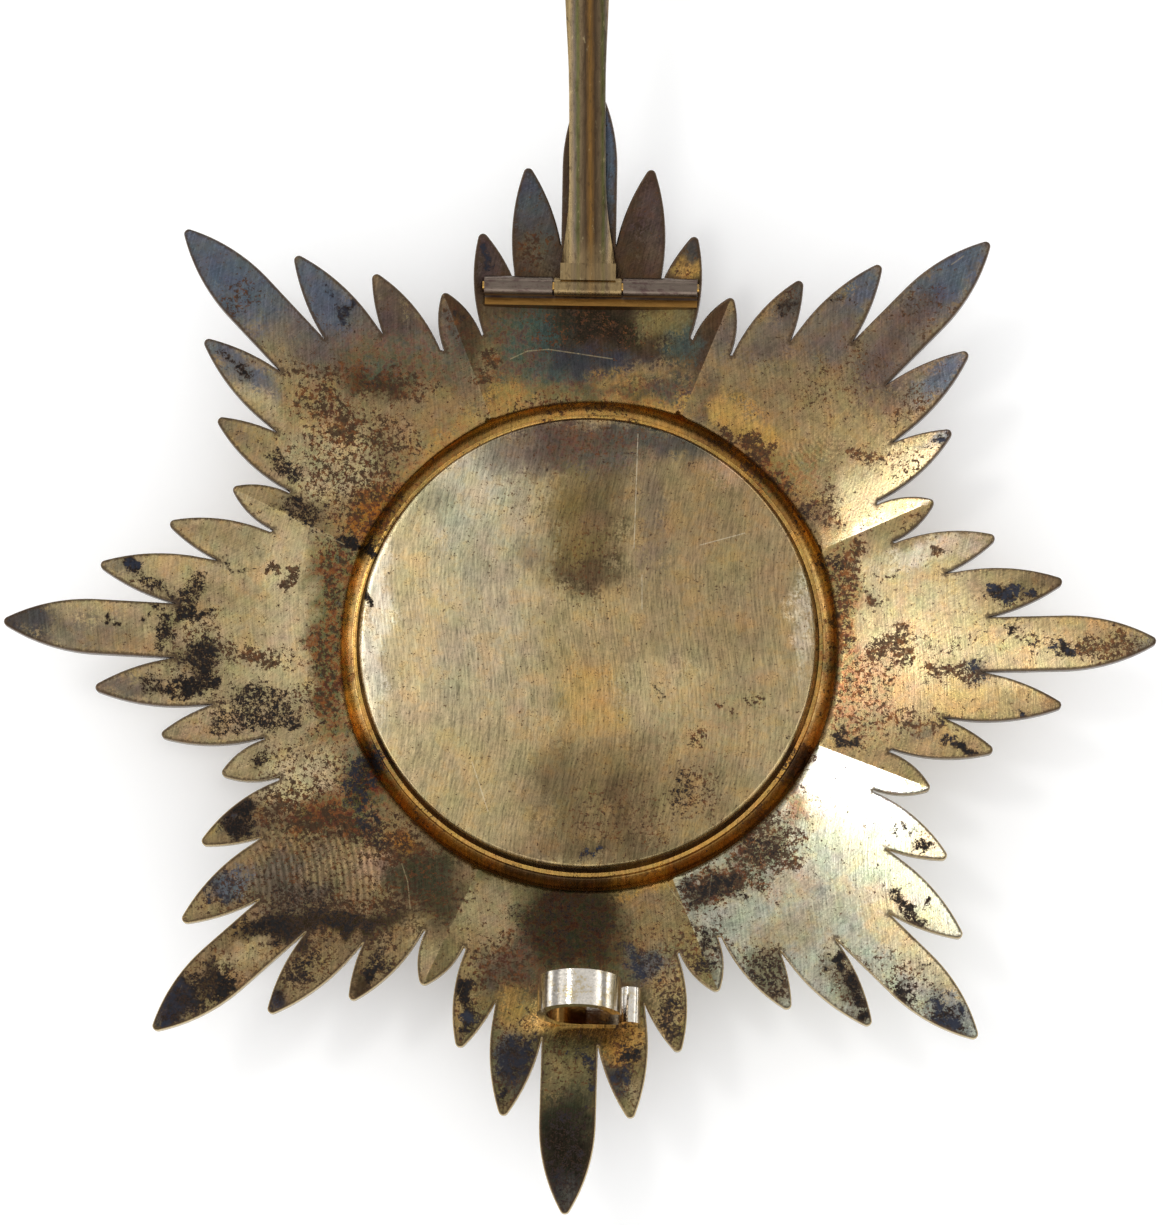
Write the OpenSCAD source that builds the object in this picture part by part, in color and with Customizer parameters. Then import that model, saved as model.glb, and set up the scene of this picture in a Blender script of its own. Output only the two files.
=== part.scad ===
// Breast star of eight rayed points, lying on its front with the pin opened.
// Millimetres, Z up. The origin is the middle of the flat front face.
// Each point lies along +X in its own frame and is turned to its place.

/* [Star] */
// Reach of a long ray from the middle
long_reach = 44; // [41:0.5:48]
// Half width of a long ray
long_half_w = 2.13; // [1.9:0.01:2.3]
// Angle at which the points rise towards the back, in degrees
point_rise = 11.7; // [9:0.1:14]
// Radius of the trough that each point is bent to
trough_r = 55; // [48:1:80]
// Thickness of the points
sheet_t = 0.9; // [0.7:0.05:1.2]
// Height of the points' back where the hollow round the rim meets them
seat_h = 4.874; // [4.6:0.001:5.2]

/* [Middle] */
// Radius of the plate that closes the back
back_r = 17.6; // [16.8:0.05:18]
// Thickness of the back plate
back_t = 0.7; // [0.5:0.05:1]
// Height of the back plate's face above the front face
back_h = 6.37; // [6.1:0.01:6.9]
// Bevel round the back plate
back_bevel = 0.22; // [0.1:0.01:0.3]
// How far the back plate and its rim sit off the middle
rim_shift = 0.6; // [0:0.1:0.8]
// Width of the hollow between the rim's step and the points
cove_w = 1.07; // [0.9:0.01:1.3]
// How far the medallion on the front stands out past the back plate's edge
medallion_over = 1; // [0.5:0.1:1.5]
// Thickness of the medallion
medallion_t = 1.8; // [1.5:0.1:2.2]

/* [Hinge] */
// Distance of the hinge from the middle
hinge_y = 27.5; // [26.5:0.1:28]
// How far the hinge sits to the side
hinge_x = 0.3; // [0:0.05:0.6]
// Height of the hinge axis above the panel's highest part under it
hinge_lift = 1.25; // [1.15:0.01:1.4]
// Length of the whole hinge
hinge_len = 16.5; // [14:0.1:17]
// Length of the middle knuckle, which belongs to the pin
knuckle_len = 5.2; // [4.8:0.1:6.5]
// How far the knuckle sits off the middle of the hinge
knuckle_shift = -0.22; // [-0.4:0.01:0.2]
// Outer diameter of the hinge tubes
tube_d = 1.5; // [1.4:0.01:1.6]
// Diameter of the hinge wire
wire_d = 0.7; // [0.55:0.01:0.8]
// Gap between the knuckle and each tube
knuckle_gap = 0.15; // [0.08:0.01:0.25]
// Radial clearance of the knuckle on the wire
run_clear = 0.05; // [0.03:0.01:0.08]
// Radial clearance of the wire in the fixed tubes
set_clear = 0.02; // [0.01:0.01:0.04]
// Reach of the hinge strip towards the middle
strip_reach = 1.3; // [1:0.1:2.2]

/* [Pin] */
// Length from the hinge axis to the point
pin_len = 60.5; // [59:0.5:63]
// Thickness of the pin
pin_t = 1.35; // [1.1:0.05:1.5]
// Width of the foot at the hinge
foot_w = 4.3; // [4.1:0.01:4.9]
// Width of the waist
waist_w = 2.82; // [2.5:0.01:3.2]
// Width at the broadest part of the blade
blade_w = 3.5; // [3.2:0.05:4]
// Distance of the broadest part from the hinge
blade_at = 25; // [22:0.5:30]
// How high the opened pin stands over the level, in degrees
open_angle = 9; // [8.8:0.1:14]
// Sideways lean of the shank on its foot, in degrees
pin_lean = 1.3; // [0:0.1:2]

/* [Catch] */
// Distance from the middle to the catch's outer face
catch_y = 29.9; // [28.5:0.1:30.5]
// How far the catch's ring sits to the side
catch_x = 0.8; // [0.4:0.1:1.2]
// Outer diameter of the catch's ring
catch_d = 6.4; // [5.8:0.1:6.8]
// Width of the strip that the catch is bent from
catch_w = 2.75; // [2:0.05:2.9]
// Thickness of that strip
catch_t = 0.75; // [0.6:0.05:0.9]
// Height of the rolled foot beside the ring
catch_foot_d = 1.7; // [1.4:0.05:1.9]
// Reach of the rolled foot from the ring's middle
catch_foot_reach = 4.6; // [4.2:0.1:5]
// Angle at which the catch leans towards the middle, in degrees
catch_lean = 9; // [0:0.5:11]

/* [Hidden] */
$fn = 96;

POINTS = 8;
step = 360 / POINTS;
// Room left between a piece and the bent point that it is soldered to
seat_gap = 0.04;

// Columns: angle off the point's axis, reach, half width, length of the rounded end.
// Reach and end are shares of the long ray's reach, half width of its half width.
SIDE_RAYS = [
    [7.45, 0.846, 0.92, 0.162],
    [14.65, 0.746, 0.83, 0.138],
];
VALLEY_RAY = [22.4, 0.665, 0.74, 0.088];
long_end = 0.158 * long_reach;
// Columns: turn off its place in degrees, share added to the reach. A row for each long ray, from +X round.
LONG_BY_HAND = [
    [0.1, 0], [0.1, -0.001], [0, 0], [0.1, 0.002],
    [0, 0], [-0.15, 0.002], [0.1, 0.007], [0.25, -0.018],
];
// The solid middle of the star reaches this share of the long ray in the points and in the valleys
core_point = 0.727;
core_valley = 0.56;
// Radius of a ray's round tip, and how far it stands out of the arcs that run into it
tip_r = 0.38;
tip_proud = 0.02;
flank_start = 0.6 * long_reach;

// The rim that carries the back plate: a flared wall and a narrow step, then the hollow
rim_wall = 1;
rim_flare = 0.28;
rim_step_w = 0.3;
rim_step_drop = 1.5;
rim_lip = 0.1;
rim_overlap = 0.9;
step_h = back_h - rim_step_drop;
step_r = back_r + rim_flare + rim_step_w;
// Metal that the hollow's cut takes away again
cut_over = 0.05;
// Depth of the hollow below the step
cove_depth = 0.62;
cove_h = step_h - cove_depth;
// Radius where the hollow meets the points
cove_r = step_r + cove_w;

// Height of the bent points' back at x along and y across a point
function panel_z(x, y) = seat_h + (x - cove_r) * tan(point_rise) + y * y / (2 * trough_r);
tip_h = panel_z(long_reach, 0);

// One ray along +X: parallel flanks, then two arcs over the length e that run into a round tip
module ray(reach, w, e) {
    shoulder = reach - e;
    to_tip = e - tip_r;
    touch_r = tip_r - tip_proud;
    arc_r = (to_tip * to_tip + w * w - touch_r * touch_r) / (2 * (w - touch_r));
    arc_len = to_tip * arc_r / (arc_r - touch_r);
    translate([flank_start, -w]) square([shoulder - flank_start, 2 * w]);
    intersection() {
        translate([shoulder, arc_r - w]) circle(r = arc_r);
        translate([shoulder, w - arc_r]) circle(r = arc_r);
        translate([shoulder - w, -w]) square([w + arc_len, 2 * w]);
    }
    translate([reach - tip_r, 0]) circle(r = tip_r, $fn = 32);
}

// A row of a ray table turned into a ray, on side s of the point
module table_ray(row, s) {
    rotate(s * row[0]) ray(row[1] * long_reach, row[2] * long_half_w, row[3] * long_reach);
}

// The rays of one point; the valley ray is shared, so each point brings one
module point_rays(i) {
    hand = LONG_BY_HAND[i];
    rotate(hand[0]) ray(long_reach * (1 + hand[1]), long_half_w, long_end);
    for (s = [-1, 1], row = SIDE_RAYS) table_ray(row, s);
    table_ray(VALLEY_RAY, 1);
}

module star_outline() {
    for (i = [0 : POINTS - 1]) rotate(i * step) point_rays(i);
    polygon([for (i = [0 : 2 * POINTS - 1])
        let (r = long_reach * (i % 2 == 0 ? core_point : core_valley))
        [r * cos(i * step / 2), r * sin(i * step / 2)]]);
}

// A cylinder of radius r on the axis that the point along +X is bent round
module trough(r) {
    translate([cove_r, 0, seat_h])
        rotate([0, -point_rise, 0])
            translate([0, 0, trough_r])
                rotate([0, 90, 0])
                    cylinder(r = r, h = 4 * long_reach, center = true, $fn = 360);
}

// How far each point's trough runs on past the creases beside it, in degrees; its neighbour lies lower there
crease_over = 5;

// The eight troughs of radius r, each over its own point and a little of its neighbours
module troughs(r) {
    far = 1.2 * long_reach;
    side = far * tan(step / 2 + crease_over);
    for (i = [0 : POINTS - 1]) rotate(i * step) intersection() {
        linear_extrude(3 * tip_h) polygon([[0, 0], [far, -side], [far, side]]);
        trough(r);
    }
}

// The rim, turned round its own middle
module rim() {
    top = back_h - back_t;
    seam_r = cove_r + rim_overlap;
    seam_h = panel_z(seam_r, 0) - sheet_t;
    rotate_extrude($fn = 180) polygon([
        [back_r - rim_wall, medallion_t],
        [back_r - rim_wall, top],
        [back_r - rim_lip, top],
        [back_r + rim_flare, step_h],
        [step_r + cut_over, step_h],
        [step_r + cut_over, cove_h],
        [seam_r, seam_h + sheet_t / 2],
        [seam_r, seam_h],
        [back_r + rim_flare, cove_h - rim_wall],
        [back_r + rim_flare, medallion_t],
    ]);
}

// The hollow between the step and the points, cut as half a round
module cove_cut() {
    w = cove_r - step_r;
    h = panel_z(cove_r, 0) - cove_h;
    r = (w * w + h * h) / (2 * h);
    rotate_extrude($fn = 180) translate([step_r, cove_h + r]) intersection() {
        circle(r = r);
        translate([0, -r]) square([r, 2 * r]);
    }
}

module star_plate() {
    color("darkkhaki") difference() {
        union() {
            difference() {
                intersection() {
                    linear_extrude(2 * tip_h) star_outline();
                    troughs(trough_r + sheet_t);
                }
                troughs(trough_r);
                translate([rim_shift, 0, 0]) cylinder(r = step_r + 2 * cut_over, h = 3 * tip_h, $fn = 180);
            }
            translate([rim_shift, 0, 0]) rim();
        }
        translate([rim_shift, 0, 0]) cove_cut();
    }
}

module back_plate() {
    color("tan") translate([rim_shift, 0, 0])
        rotate_extrude($fn = 180) polygon([
            [0, back_h - back_t],
            [back_r, back_h - back_t],
            [back_r, back_h - back_bevel],
            [back_r - back_bevel, back_h],
            [0, back_h],
        ]);
}

module front_medallion() {
    edge = medallion_t / 2;
    medallion_r = back_r + medallion_over;
    color("silver")
        rotate_extrude($fn = 180) union() {
            square([medallion_r - edge, medallion_t]);
            intersection() {
                translate([medallion_r - edge, edge]) circle(r = edge, $fn = 48);
                square([medallion_r, medallion_t]);
            }
        }
}

// Places on the point that carries the hinge: its highest part under the hinge, and the axis
hinge_seat_h = panel_z(hinge_y, hinge_len / 2);
axis_h = hinge_seat_h + hinge_lift;
// Room between the strip and the knuckle that turns over it
strip_gap = 0.13;
strip_top_h = axis_h - tube_d / 2 - strip_gap;
// Inset of the solder bed under each tube
bed_inset = 0.1;
// How far the wire stands out of each end
wire_proud = 0.15;

module at_hinge() {
    translate([hinge_x, hinge_y, axis_h]) children();
}

// A cylinder along the hinge axis, len long and centred at x
module along_hinge(x, d, len) {
    at_hinge() translate([x, 0, 0]) rotate([0, 90, 0])
        cylinder(d = d, h = len, center = true, $fn = 64);
}

// One fixed tube on side s with its solder bed, from the knuckle to the end of the hinge
module fixed_tube(s) {
    len = (hinge_len - knuckle_len) / 2 - knuckle_gap - s * knuckle_shift;
    x = s * (hinge_len - len) / 2;
    bed_w = tube_d - 2 * bed_inset;
    along_hinge(x, tube_d, len);
    translate([hinge_x + x - len / 2, hinge_y - bed_w / 2, hinge_seat_h])
        cube([len, bed_w, hinge_lift]);
}

module hinge_leaf() {
    color("dimgray") difference() {
        intersection() {
            rotate(90) trough(trough_r - seat_gap);
            union() {
                translate([hinge_x - hinge_len / 2, hinge_y - strip_reach, 0])
                    cube([hinge_len, strip_reach + tube_d / 2, strip_top_h]);
                for (s = [-1, 1]) fixed_tube(s);
            }
        }
        along_hinge(0, wire_d + 2 * set_clear, 2 * hinge_len);
    }
}

module hinge_wire() {
    color("goldenrod") along_hinge(0, wire_d, hinge_len + 2 * wire_proud);
}

// The pin's foot, and the flare and the waist after it, measured from the hinge's axis
foot_from = 0.45;
foot_len = 1.75;
foot_raise = 0.15;
flare_len = 7;
waist_end = 15;
// Half thickness of the pin's end
tip_half = 0.12;

// Half width of the shank at distance u from the hinge: a flared root, a waist, a blade, a point
function shank_half(u) =
    u < waist_end ? waist_w / 2 + (foot_w - waist_w) / 2 * pow(max(0, 1 - (u - foot_len) / flare_len), 2) :
    u < blade_at ? waist_w / 2 + (blade_w - waist_w) / 4
        * (1 - cos(180 * (u - waist_end) / (blade_at - waist_end))) :
    max(tip_half, blade_w / 2 * (1 - pow((u - blade_at) / (pin_len - blade_at), 1.6)));

// Distances at which the shank's edge turns
function shank_stations() = concat(
    [for (i = [0 : 8]) foot_len + i * flare_len / 8],
    [for (i = [0 : 4]) waist_end + i * (blade_at - waist_end) / 5],
    [for (i = [0 : 9]) blade_at + i * (pin_len - blade_at) / 9]);

module shank_outline() {
    stations = shank_stations();
    last = len(stations) - 1;
    rotate(pin_lean) polygon(concat(
        [for (u = stations) [shank_half(u), u]],
        [for (i = [last : -1 : 0]) [-shank_half(stations[i]), stations[i]]]));
}

// Radius of the shank's rounded face
crown_r = 2.4;

// The pin seen from the side: level to its middle, then thinner to the point
module shank_side() {
    back = tube_d / 2;
    polygon([
        [-back, -pin_t / 2], [pin_len / 2, -pin_t / 2], [pin_len, -tip_half],
        [pin_len, tip_half], [pin_len / 2, pin_t / 2], [-back, pin_t / 2],
    ]);
}

// The opened pin along +Y from the hinge axis, lying level
module pin_level() {
    intersection() {
        linear_extrude(2 * pin_t, center = true) shank_outline();
        rotate(pin_lean) translate([0, 0, pin_t / 2 - crown_r]) rotate([-90, 0, 0])
            cylinder(r = crown_r, h = 1.1 * pin_len);
        rotate([90, 0, 90]) linear_extrude(4 * foot_w, center = true) shank_side();
    }
    translate([-foot_w / 2, foot_from, -pin_t / 2])
        cube([foot_w, foot_len - foot_from, pin_t + foot_raise]);
}

module pin() {
    color("peru") difference() {
        union() {
            translate([knuckle_shift, 0, 0]) at_hinge() rotate([open_angle, 0, 0]) pin_level();
            along_hinge(knuckle_shift, tube_d, knuckle_len);
        }
        along_hinge(knuckle_shift, wire_d + 2 * run_clear, 2 * knuckle_len);
    }
}

// How far the catch's mouth reaches above the ring's middle
catch_mouth_over = 0.4;

// The catch's strip from the side: a ring open at one side over a rolled foot
module catch_profile() {
    r = catch_d / 2;
    foot_r = catch_foot_d / 2;
    difference() {
        translate([0, r]) circle(r = r);
        translate([0, r]) circle(r = r - catch_t);
        translate([0, catch_t]) square([catch_d, r - catch_t + catch_mouth_over]);
    }
    square([catch_foot_reach - foot_r, catch_t]);
    translate([catch_foot_reach - foot_r, foot_r]) circle(r = foot_r, $fn = 48);
}

// Depth that the ring's foot would reach into the panel, cut away to seat it
catch_sink = 0.25;
module catch() {
    color("gainsboro") intersection() {
        rotate(-90) trough(trough_r - seat_gap);
        translate([catch_x, -catch_y, panel_z(catch_y, 0) - catch_sink])
            rotate([90 - catch_lean, 0, 0]) mirror([0, 0, 1])
                linear_extrude(catch_w) catch_profile();
    }
}

star_plate();
back_plate();
front_medallion();
hinge_leaf();
hinge_wire();
pin();
catch();
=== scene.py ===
import math

import bmesh
import bpy
import numpy as np
from mathutils import Matrix, Vector, noise
from mathutils.geometry import delaunay_2d_cdt


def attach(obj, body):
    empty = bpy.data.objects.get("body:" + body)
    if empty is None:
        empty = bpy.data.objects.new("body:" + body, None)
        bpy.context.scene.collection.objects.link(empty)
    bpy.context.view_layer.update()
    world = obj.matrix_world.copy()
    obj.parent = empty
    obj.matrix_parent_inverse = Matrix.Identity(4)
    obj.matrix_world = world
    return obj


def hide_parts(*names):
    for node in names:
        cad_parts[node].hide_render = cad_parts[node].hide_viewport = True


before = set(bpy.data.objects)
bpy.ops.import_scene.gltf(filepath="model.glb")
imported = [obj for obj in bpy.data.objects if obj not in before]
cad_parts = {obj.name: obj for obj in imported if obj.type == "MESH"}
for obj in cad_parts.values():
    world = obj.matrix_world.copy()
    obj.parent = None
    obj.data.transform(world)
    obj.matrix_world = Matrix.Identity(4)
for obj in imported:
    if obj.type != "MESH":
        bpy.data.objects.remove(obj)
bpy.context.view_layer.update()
mm = 0.001

# The picture's view: degrees round the star, off the upright and of roll, then millimetres
photoView = {
    "azimuth": 10.03,
    "tilt": 11.12,
    "roll": 1.4,
    "aim": (0.32, 1.46, 10.0),
    "distance": 400.0,
    "pixelsPerMm": 13.1,
    "wide": 1165,
    "high": 1225,
}


# Right, up and back of the picture's view, as unit vectors
def viewAxes(view):
    round_, off = math.radians(view["azimuth"]), math.radians(view["tilt"])
    back = Vector((math.sin(round_) * math.sin(off), -math.cos(round_) * math.sin(off), math.cos(off)))
    right = Vector((0, 1, 0)).cross(back).normalized()
    roll = Matrix.Rotation(math.radians(view["roll"]), 3, back)
    return roll @ right, roll @ back.cross(right), back


# Where points in millimetres fall in the picture, in its own pixels
def picturePlace(points, view=photoView):
    right, up, back = (np.array(axis) for axis in viewAxes(view))
    fromAim = points - np.array(view["aim"])
    grow = view["pixelsPerMm"] * view["distance"] / (view["distance"] - fromAim @ back)
    return view["wide"] / 2 + grow * (fromAim @ right), view["high"] / 2 - grow * (fromAim @ up)


def makeCamera(view):
    sensor = 36.0
    data = bpy.data.cameras.new("camera")
    data.sensor_width = sensor
    data.lens = sensor * view["pixelsPerMm"] * view["distance"] / max(view["wide"], view["high"])
    data.clip_start, data.clip_end = 0.02, 20.0
    camera = bpy.data.objects.new("camera", data)
    bpy.context.scene.collection.objects.link(camera)
    right, up, back = viewAxes(view)
    turned = Matrix((right, up, back)).transposed().to_4x4()
    camera.matrix_world = Matrix.Translation((Vector(view["aim"]) + back * view["distance"]) * mm) @ turned
    bpy.context.scene.camera = camera


# The one lamp: direction from the star, distance and size in metres, power in watts, colour
keySoftbox = {"towards": (-0.455, 0.255, 0.852), "far": 0.6, "size": 0.11, "power": 0.36, "colour": (1, 0.99, 0.97)}

# The air's brightness: overhead, dimmer towards +Y, and in bright and dark cards low round the table
studio = {
    "above": 0.93,
    "dimmer": 0.3,
    "dimFrom": 0.3,
    "dimTo": 0.68,
    "lowFrom": 0.72,
    "lowTo": 0.4,
    "cards": 5,
    "cardTurn": 0.6,
    "cardTwist": 9.0,
    "cardDark": 0.45,
    "cardLight": 2.5,
    "floorColour": (0.94, 0.94, 0.94),
    "floorGlow": 0.13,
    "floorHalf": 1.5,
}


def makeLamp(light):
    data = bpy.data.lights.new("keySoftbox", "AREA")
    data.shape = "DISK"
    data.size = light["size"]
    data.energy = light["power"]
    data.color = light["colour"]
    lamp = bpy.data.objects.new("keySoftbox", data)
    bpy.context.scene.collection.objects.link(lamp)
    towards = Vector(light["towards"]).normalized()
    lamp.location = towards * light["far"]
    lamp.rotation_mode = "QUATERNION"
    lamp.rotation_quaternion = towards.to_track_quat("Z", "Y")


def makeAir():
    world = bpy.data.worlds.new("studioAir")
    world.use_nodes = True
    bench = Bench(world.node_tree)
    way = bench.node("ShaderNodeTexCoord")
    x, y, z = (bench.node("ShaderNodeSeparateXYZ", {}, {0: way}, k) for k in range(3))
    high = studio["above"] - y.rise(studio["dimFrom"], studio["dimTo"]) * studio["dimmer"]
    turn = bench.maths("ARCTAN2", y, x) * studio["cards"] + z * studio["cardTwist"] + studio["cardTurn"]
    card = turn.sine().rise(-0.4, 0.4)
    low = card * (studio["cardLight"] - studio["cardDark"]) + studio["cardDark"]
    share = z.rise(studio["lowTo"], studio["lowFrom"])
    bright = high * share + low * (1 - share)
    air = bench.node("ShaderNodeBackground", {}, {"Color": (1, 1, 1, 1), "Strength": bright})
    bench.end("ShaderNodeOutputWorld", air)
    bpy.context.scene.world = world
    bpy.context.scene.view_settings.view_transform = "Standard"


# One output of a shader's tree. Sums written on it add Math nodes.
class Wire:
    def __init__(self, bench, socket):
        self.bench, self.socket = bench, socket

    def __add__(self, other):
        return self.bench.maths("ADD", self, other)

    __radd__ = __add__

    def __mul__(self, other):
        return self.bench.maths("MULTIPLY", self, other)

    __rmul__ = __mul__

    def __sub__(self, other):
        return self.bench.maths("SUBTRACT", self, other)

    def __rsub__(self, other):
        return self.bench.maths("SUBTRACT", other, self)

    def __truediv__(self, other):
        return self.bench.maths("DIVIDE", self, other)

    def __rtruediv__(self, other):
        return self.bench.maths("DIVIDE", other, self)

    def __pow__(self, other):
        return self.bench.maths("POWER", self, other)

    def __abs__(self):
        return self.bench.maths("ABSOLUTE", self)

    def most(self, other):
        return self.bench.maths("MAXIMUM", self, other)

    def least(self, other):
        return self.bench.maths("MINIMUM", self, other)

    def sine(self):
        return self.bench.maths("SINE", self)

    # 0 below low, 1 above high, with a soft step between them
    def rise(self, low, high):
        values = {"Value": self, "From Min": low, "From Max": high}
        return self.bench.node("ShaderNodeMapRange", {"interpolation_type": "SMOOTHSTEP"}, values)


# A shader's tree being made: its nodes come from node(), and the rest are short ways to it
class Bench:
    def __init__(self, tree):
        self.tree = tree
        tree.nodes.clear()

    def node(self, kind, settings=None, values=None, output=0):
        made = self.tree.nodes.new(kind)
        for key, value in (settings or {}).items():
            if key == "stops":
                ramp = made.color_ramp
                while len(ramp.elements) < len(value):
                    ramp.elements.new(0.5)
                for element, (place, colour) in zip(ramp.elements, value):
                    element.position, element.color = place, colour
            else:
                setattr(made, key, value)
        for key, value in (values or {}).items():
            if isinstance(value, Wire):
                self.tree.links.new(value.socket, made.inputs[key])
            else:
                made.inputs[key].default_value = value
        return Wire(self, made.outputs[output])

    def maths(self, operation, *values):
        return self.node("ShaderNodeMath", {"operation": operation}, dict(enumerate(values)))

    def vector(self, operation, *values, output=0):
        return self.node("ShaderNodeVectorMath", {"operation": operation}, dict(enumerate(values)), output)

    def mix(self, share, first, second, blend="MIX"):
        first, second = ((*c, 1) if isinstance(c, tuple) and len(c) == 3 else c for c in (first, second))
        settings = {"data_type": "RGBA", "blend_type": blend}
        return self.node("ShaderNodeMix", settings, {0: share, 6: first, 7: second}, 2)

    # The piece's own coordinates, in millimetres
    def place(self):
        return self.vector("MULTIPLY", self.node("ShaderNodeTexCoord", output=3), (1 / mm,) * 3)

    # Noise with so many cells a millimetre along each axis
    def noise(self, perMm, detail=3.0, rough=0.55, seed=0.0, warp=0.0, output=0):
        stretched = self.vector("MULTIPLY_ADD", self.place(), perMm, (seed, seed * 0.7, -seed))
        values = {"Vector": stretched, "Scale": 1.0, "Detail": detail, "Roughness": rough, "Distortion": warp}
        return self.node("ShaderNodeTexNoise", {}, values, output)

    def attribute(self, name, output=2):
        return self.node("ShaderNodeAttribute", {"attribute_name": name}, output=output)

    def bump(self, height, depth, strength=1.0, normal=None):
        values = {"Height": height, "Distance": depth * mm, "Strength": strength}
        if normal:
            values["Normal"] = normal
        return self.node("ShaderNodeBump", {}, values)

    # Grain in lines turned so many degrees, with so many cells a millimetre along and across them
    def hatch(self, place, turn, along, across, seed):
        c, s = math.cos(math.radians(turn)), math.sin(math.radians(turn))
        run = self.vector("DOT_PRODUCT", place, (c * along, s * along, 0), output=1)
        over = self.vector("DOT_PRODUCT", place, (-s * across, c * across, 0), output=1)
        spot = self.node("ShaderNodeCombineXYZ", {}, {0: run, 1: over, 2: seed})
        return self.node("ShaderNodeTexNoise", {}, {"Vector": spot, "Scale": 1.0, "Detail": 3.0, "Roughness": 0.6})

    # A colour made brighter or darker
    def scale(self, colour, factor):
        return self.node("ShaderNodeVectorMath", {"operation": "SCALE"}, {0: colour, "Scale": factor})

    # A straight scratch between two places in millimetres
    def scratch(self, start, finish, wide):
        along = (finish[0] - start[0], finish[1] - start[1], 0)
        square = along[0] ** 2 + along[1] ** 2
        flat = self.vector("MULTIPLY", self.place(), (1, 1, 0))
        off = self.vector("SUBTRACT", flat, (*start, 0))
        share = (self.vector("DOT_PRODUCT", off, along, output=1) / square).most(0).least(1)
        gap = self.vector("LENGTH", self.vector("SUBTRACT", off, self.scale(along, share)), output=1)
        return 1 - gap.rise(wide * 0.4, wide)

    # The nodes that end a tree have no outputs, so they are made here
    def end(self, kind, shader):
        self.tree.links.new(shader.socket, self.tree.nodes.new(kind).inputs["Surface"])

    def close(self, **sockets):
        names = {name.replace("_", " "): value for name, value in sockets.items()}
        self.end("ShaderNodeOutputMaterial", self.node("ShaderNodeBsdfPrincipled", {}, names))


def newMaterial(name):
    material = bpy.data.materials.new(name)
    material.use_nodes = True
    return material, Bench(material.node_tree)


def linear(red, green, blue):
    return tuple((v / 255 / 12.92) if v <= 10 else ((v / 255 + 0.055) / 1.055) ** 2.4 for v in (red, green, blue))


# The metal's colours; white serves only as a painted highlight, and cream and orange paint highlights too
palette = {
    "white": linear(255, 253, 246),
    "cream": linear(240, 227, 198),
    "champagne": linear(202, 182, 139),
    "silver": linear(190, 188, 164),
    "platinum": linear(214, 207, 196),
    "beige": linear(174, 154, 114),
    "khaki": linear(158, 136, 95),
    "bronze": linear(140, 118, 84),
    "olive": linear(122, 110, 74),
    "brown": linear(104, 88, 66),
    "greyBrown": linear(108, 96, 86),
    "umber": linear(72, 56, 42),
    "soot": linear(40, 34, 26),
    "black": linear(24, 21, 20),
    "pine": linear(58, 58, 44),
    "sepia": linear(62, 44, 30),
    "pewter": linear(183, 168, 136),
    "slate": linear(74, 72, 70),
    "steel": linear(88, 95, 106),
    "ink": linear(44, 48, 60),
    "plum": linear(84, 68, 64),
    "rust": linear(138, 84, 40),
    "amber": linear(176, 114, 40),
    "copper": linear(134, 98, 50),
    "bark": linear(114, 94, 58),
    "maroon": linear(82, 42, 30),
    "ochre": linear(184, 138, 70),
    "moss": linear(86, 90, 48),
    "wine": linear(112, 52, 42),
    "gold": linear(186, 146, 80),
    "orange": linear(240, 196, 124),
    "teal": linear(66, 84, 80),
    "rose": linear(186, 152, 122),
}

# The star's form, as the construction has it: millimetres, degrees and shares of the long ray
starForm = {
    "points": 8,
    "longReach": 44.0,
    "longHalf": 2.13,
    "longEnd": 0.158,
    "rise": 11.7,
    "trough": 55.0,
    "sheet": 0.9,
    "seat": 4.874,
    "tipRound": 0.38,
    "flankStart": 0.6,
    "corePoint": 0.727,
    "coreValley": 0.56,
    "sideRays": ((7.45, 0.846, 0.92, 0.162), (14.65, 0.746, 0.83, 0.138)),
    "valleyRay": (22.4, 0.665, 0.74, 0.088),
    "byHand": ((0.1, 0), (0.1, -0.001), (0, 0), (0.1, 0.002), (0, 0), (-0.15, 0.002), (0.1, 0.007), (0.25, -0.018)),
    "edgeRound": 0.12,
    "edgeBand": 0.1,
    "meshStep": 0.33,
    "underStep": 1.3,
    "notchFan": 7,
    "leastParts": 6,
    "roundSteps": 360,
}
# The rim round the back plate, in millimetres
rimForm = {
    "shift": 0.6,
    "backRadius": 17.6,
    "backHeight": 6.37,
    "backThick": 0.7,
    "backBevel": 0.22,
    "wall": 1.0,
    "flare": 0.28,
    "step": 0.3,
    "drop": 1.5,
    "lip": 0.1,
    "coveWidth": 1.07,
    "coveDepth": 0.62,
    "overlap": 0.9,
    "medallionThick": 1.8,
}
rimCentre = np.array([rimForm["shift"], 0.0])
stepHeight = rimForm["backHeight"] - rimForm["drop"]
stepRadius = rimForm["backRadius"] + rimForm["flare"] + rimForm["step"]
coveRadius = stepRadius + rimForm["coveWidth"]
coveFloor = stepHeight - rimForm["coveDepth"]


# Height of the star's back at points x, y
def panelHeight(xy):
    step = 2 * math.pi / starForm["points"]
    turn = np.arctan2(xy[:, 1], xy[:, 0])
    fold = (turn + step / 2) % step - step / 2
    reach = np.hypot(xy[:, 0], xy[:, 1])
    along, across = reach * np.cos(fold), reach * np.sin(fold)
    slope = math.tan(math.radians(starForm["rise"]))
    return starForm["seat"] + (along - coveRadius) * slope + across**2 / (2 * starForm["trough"])


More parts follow.
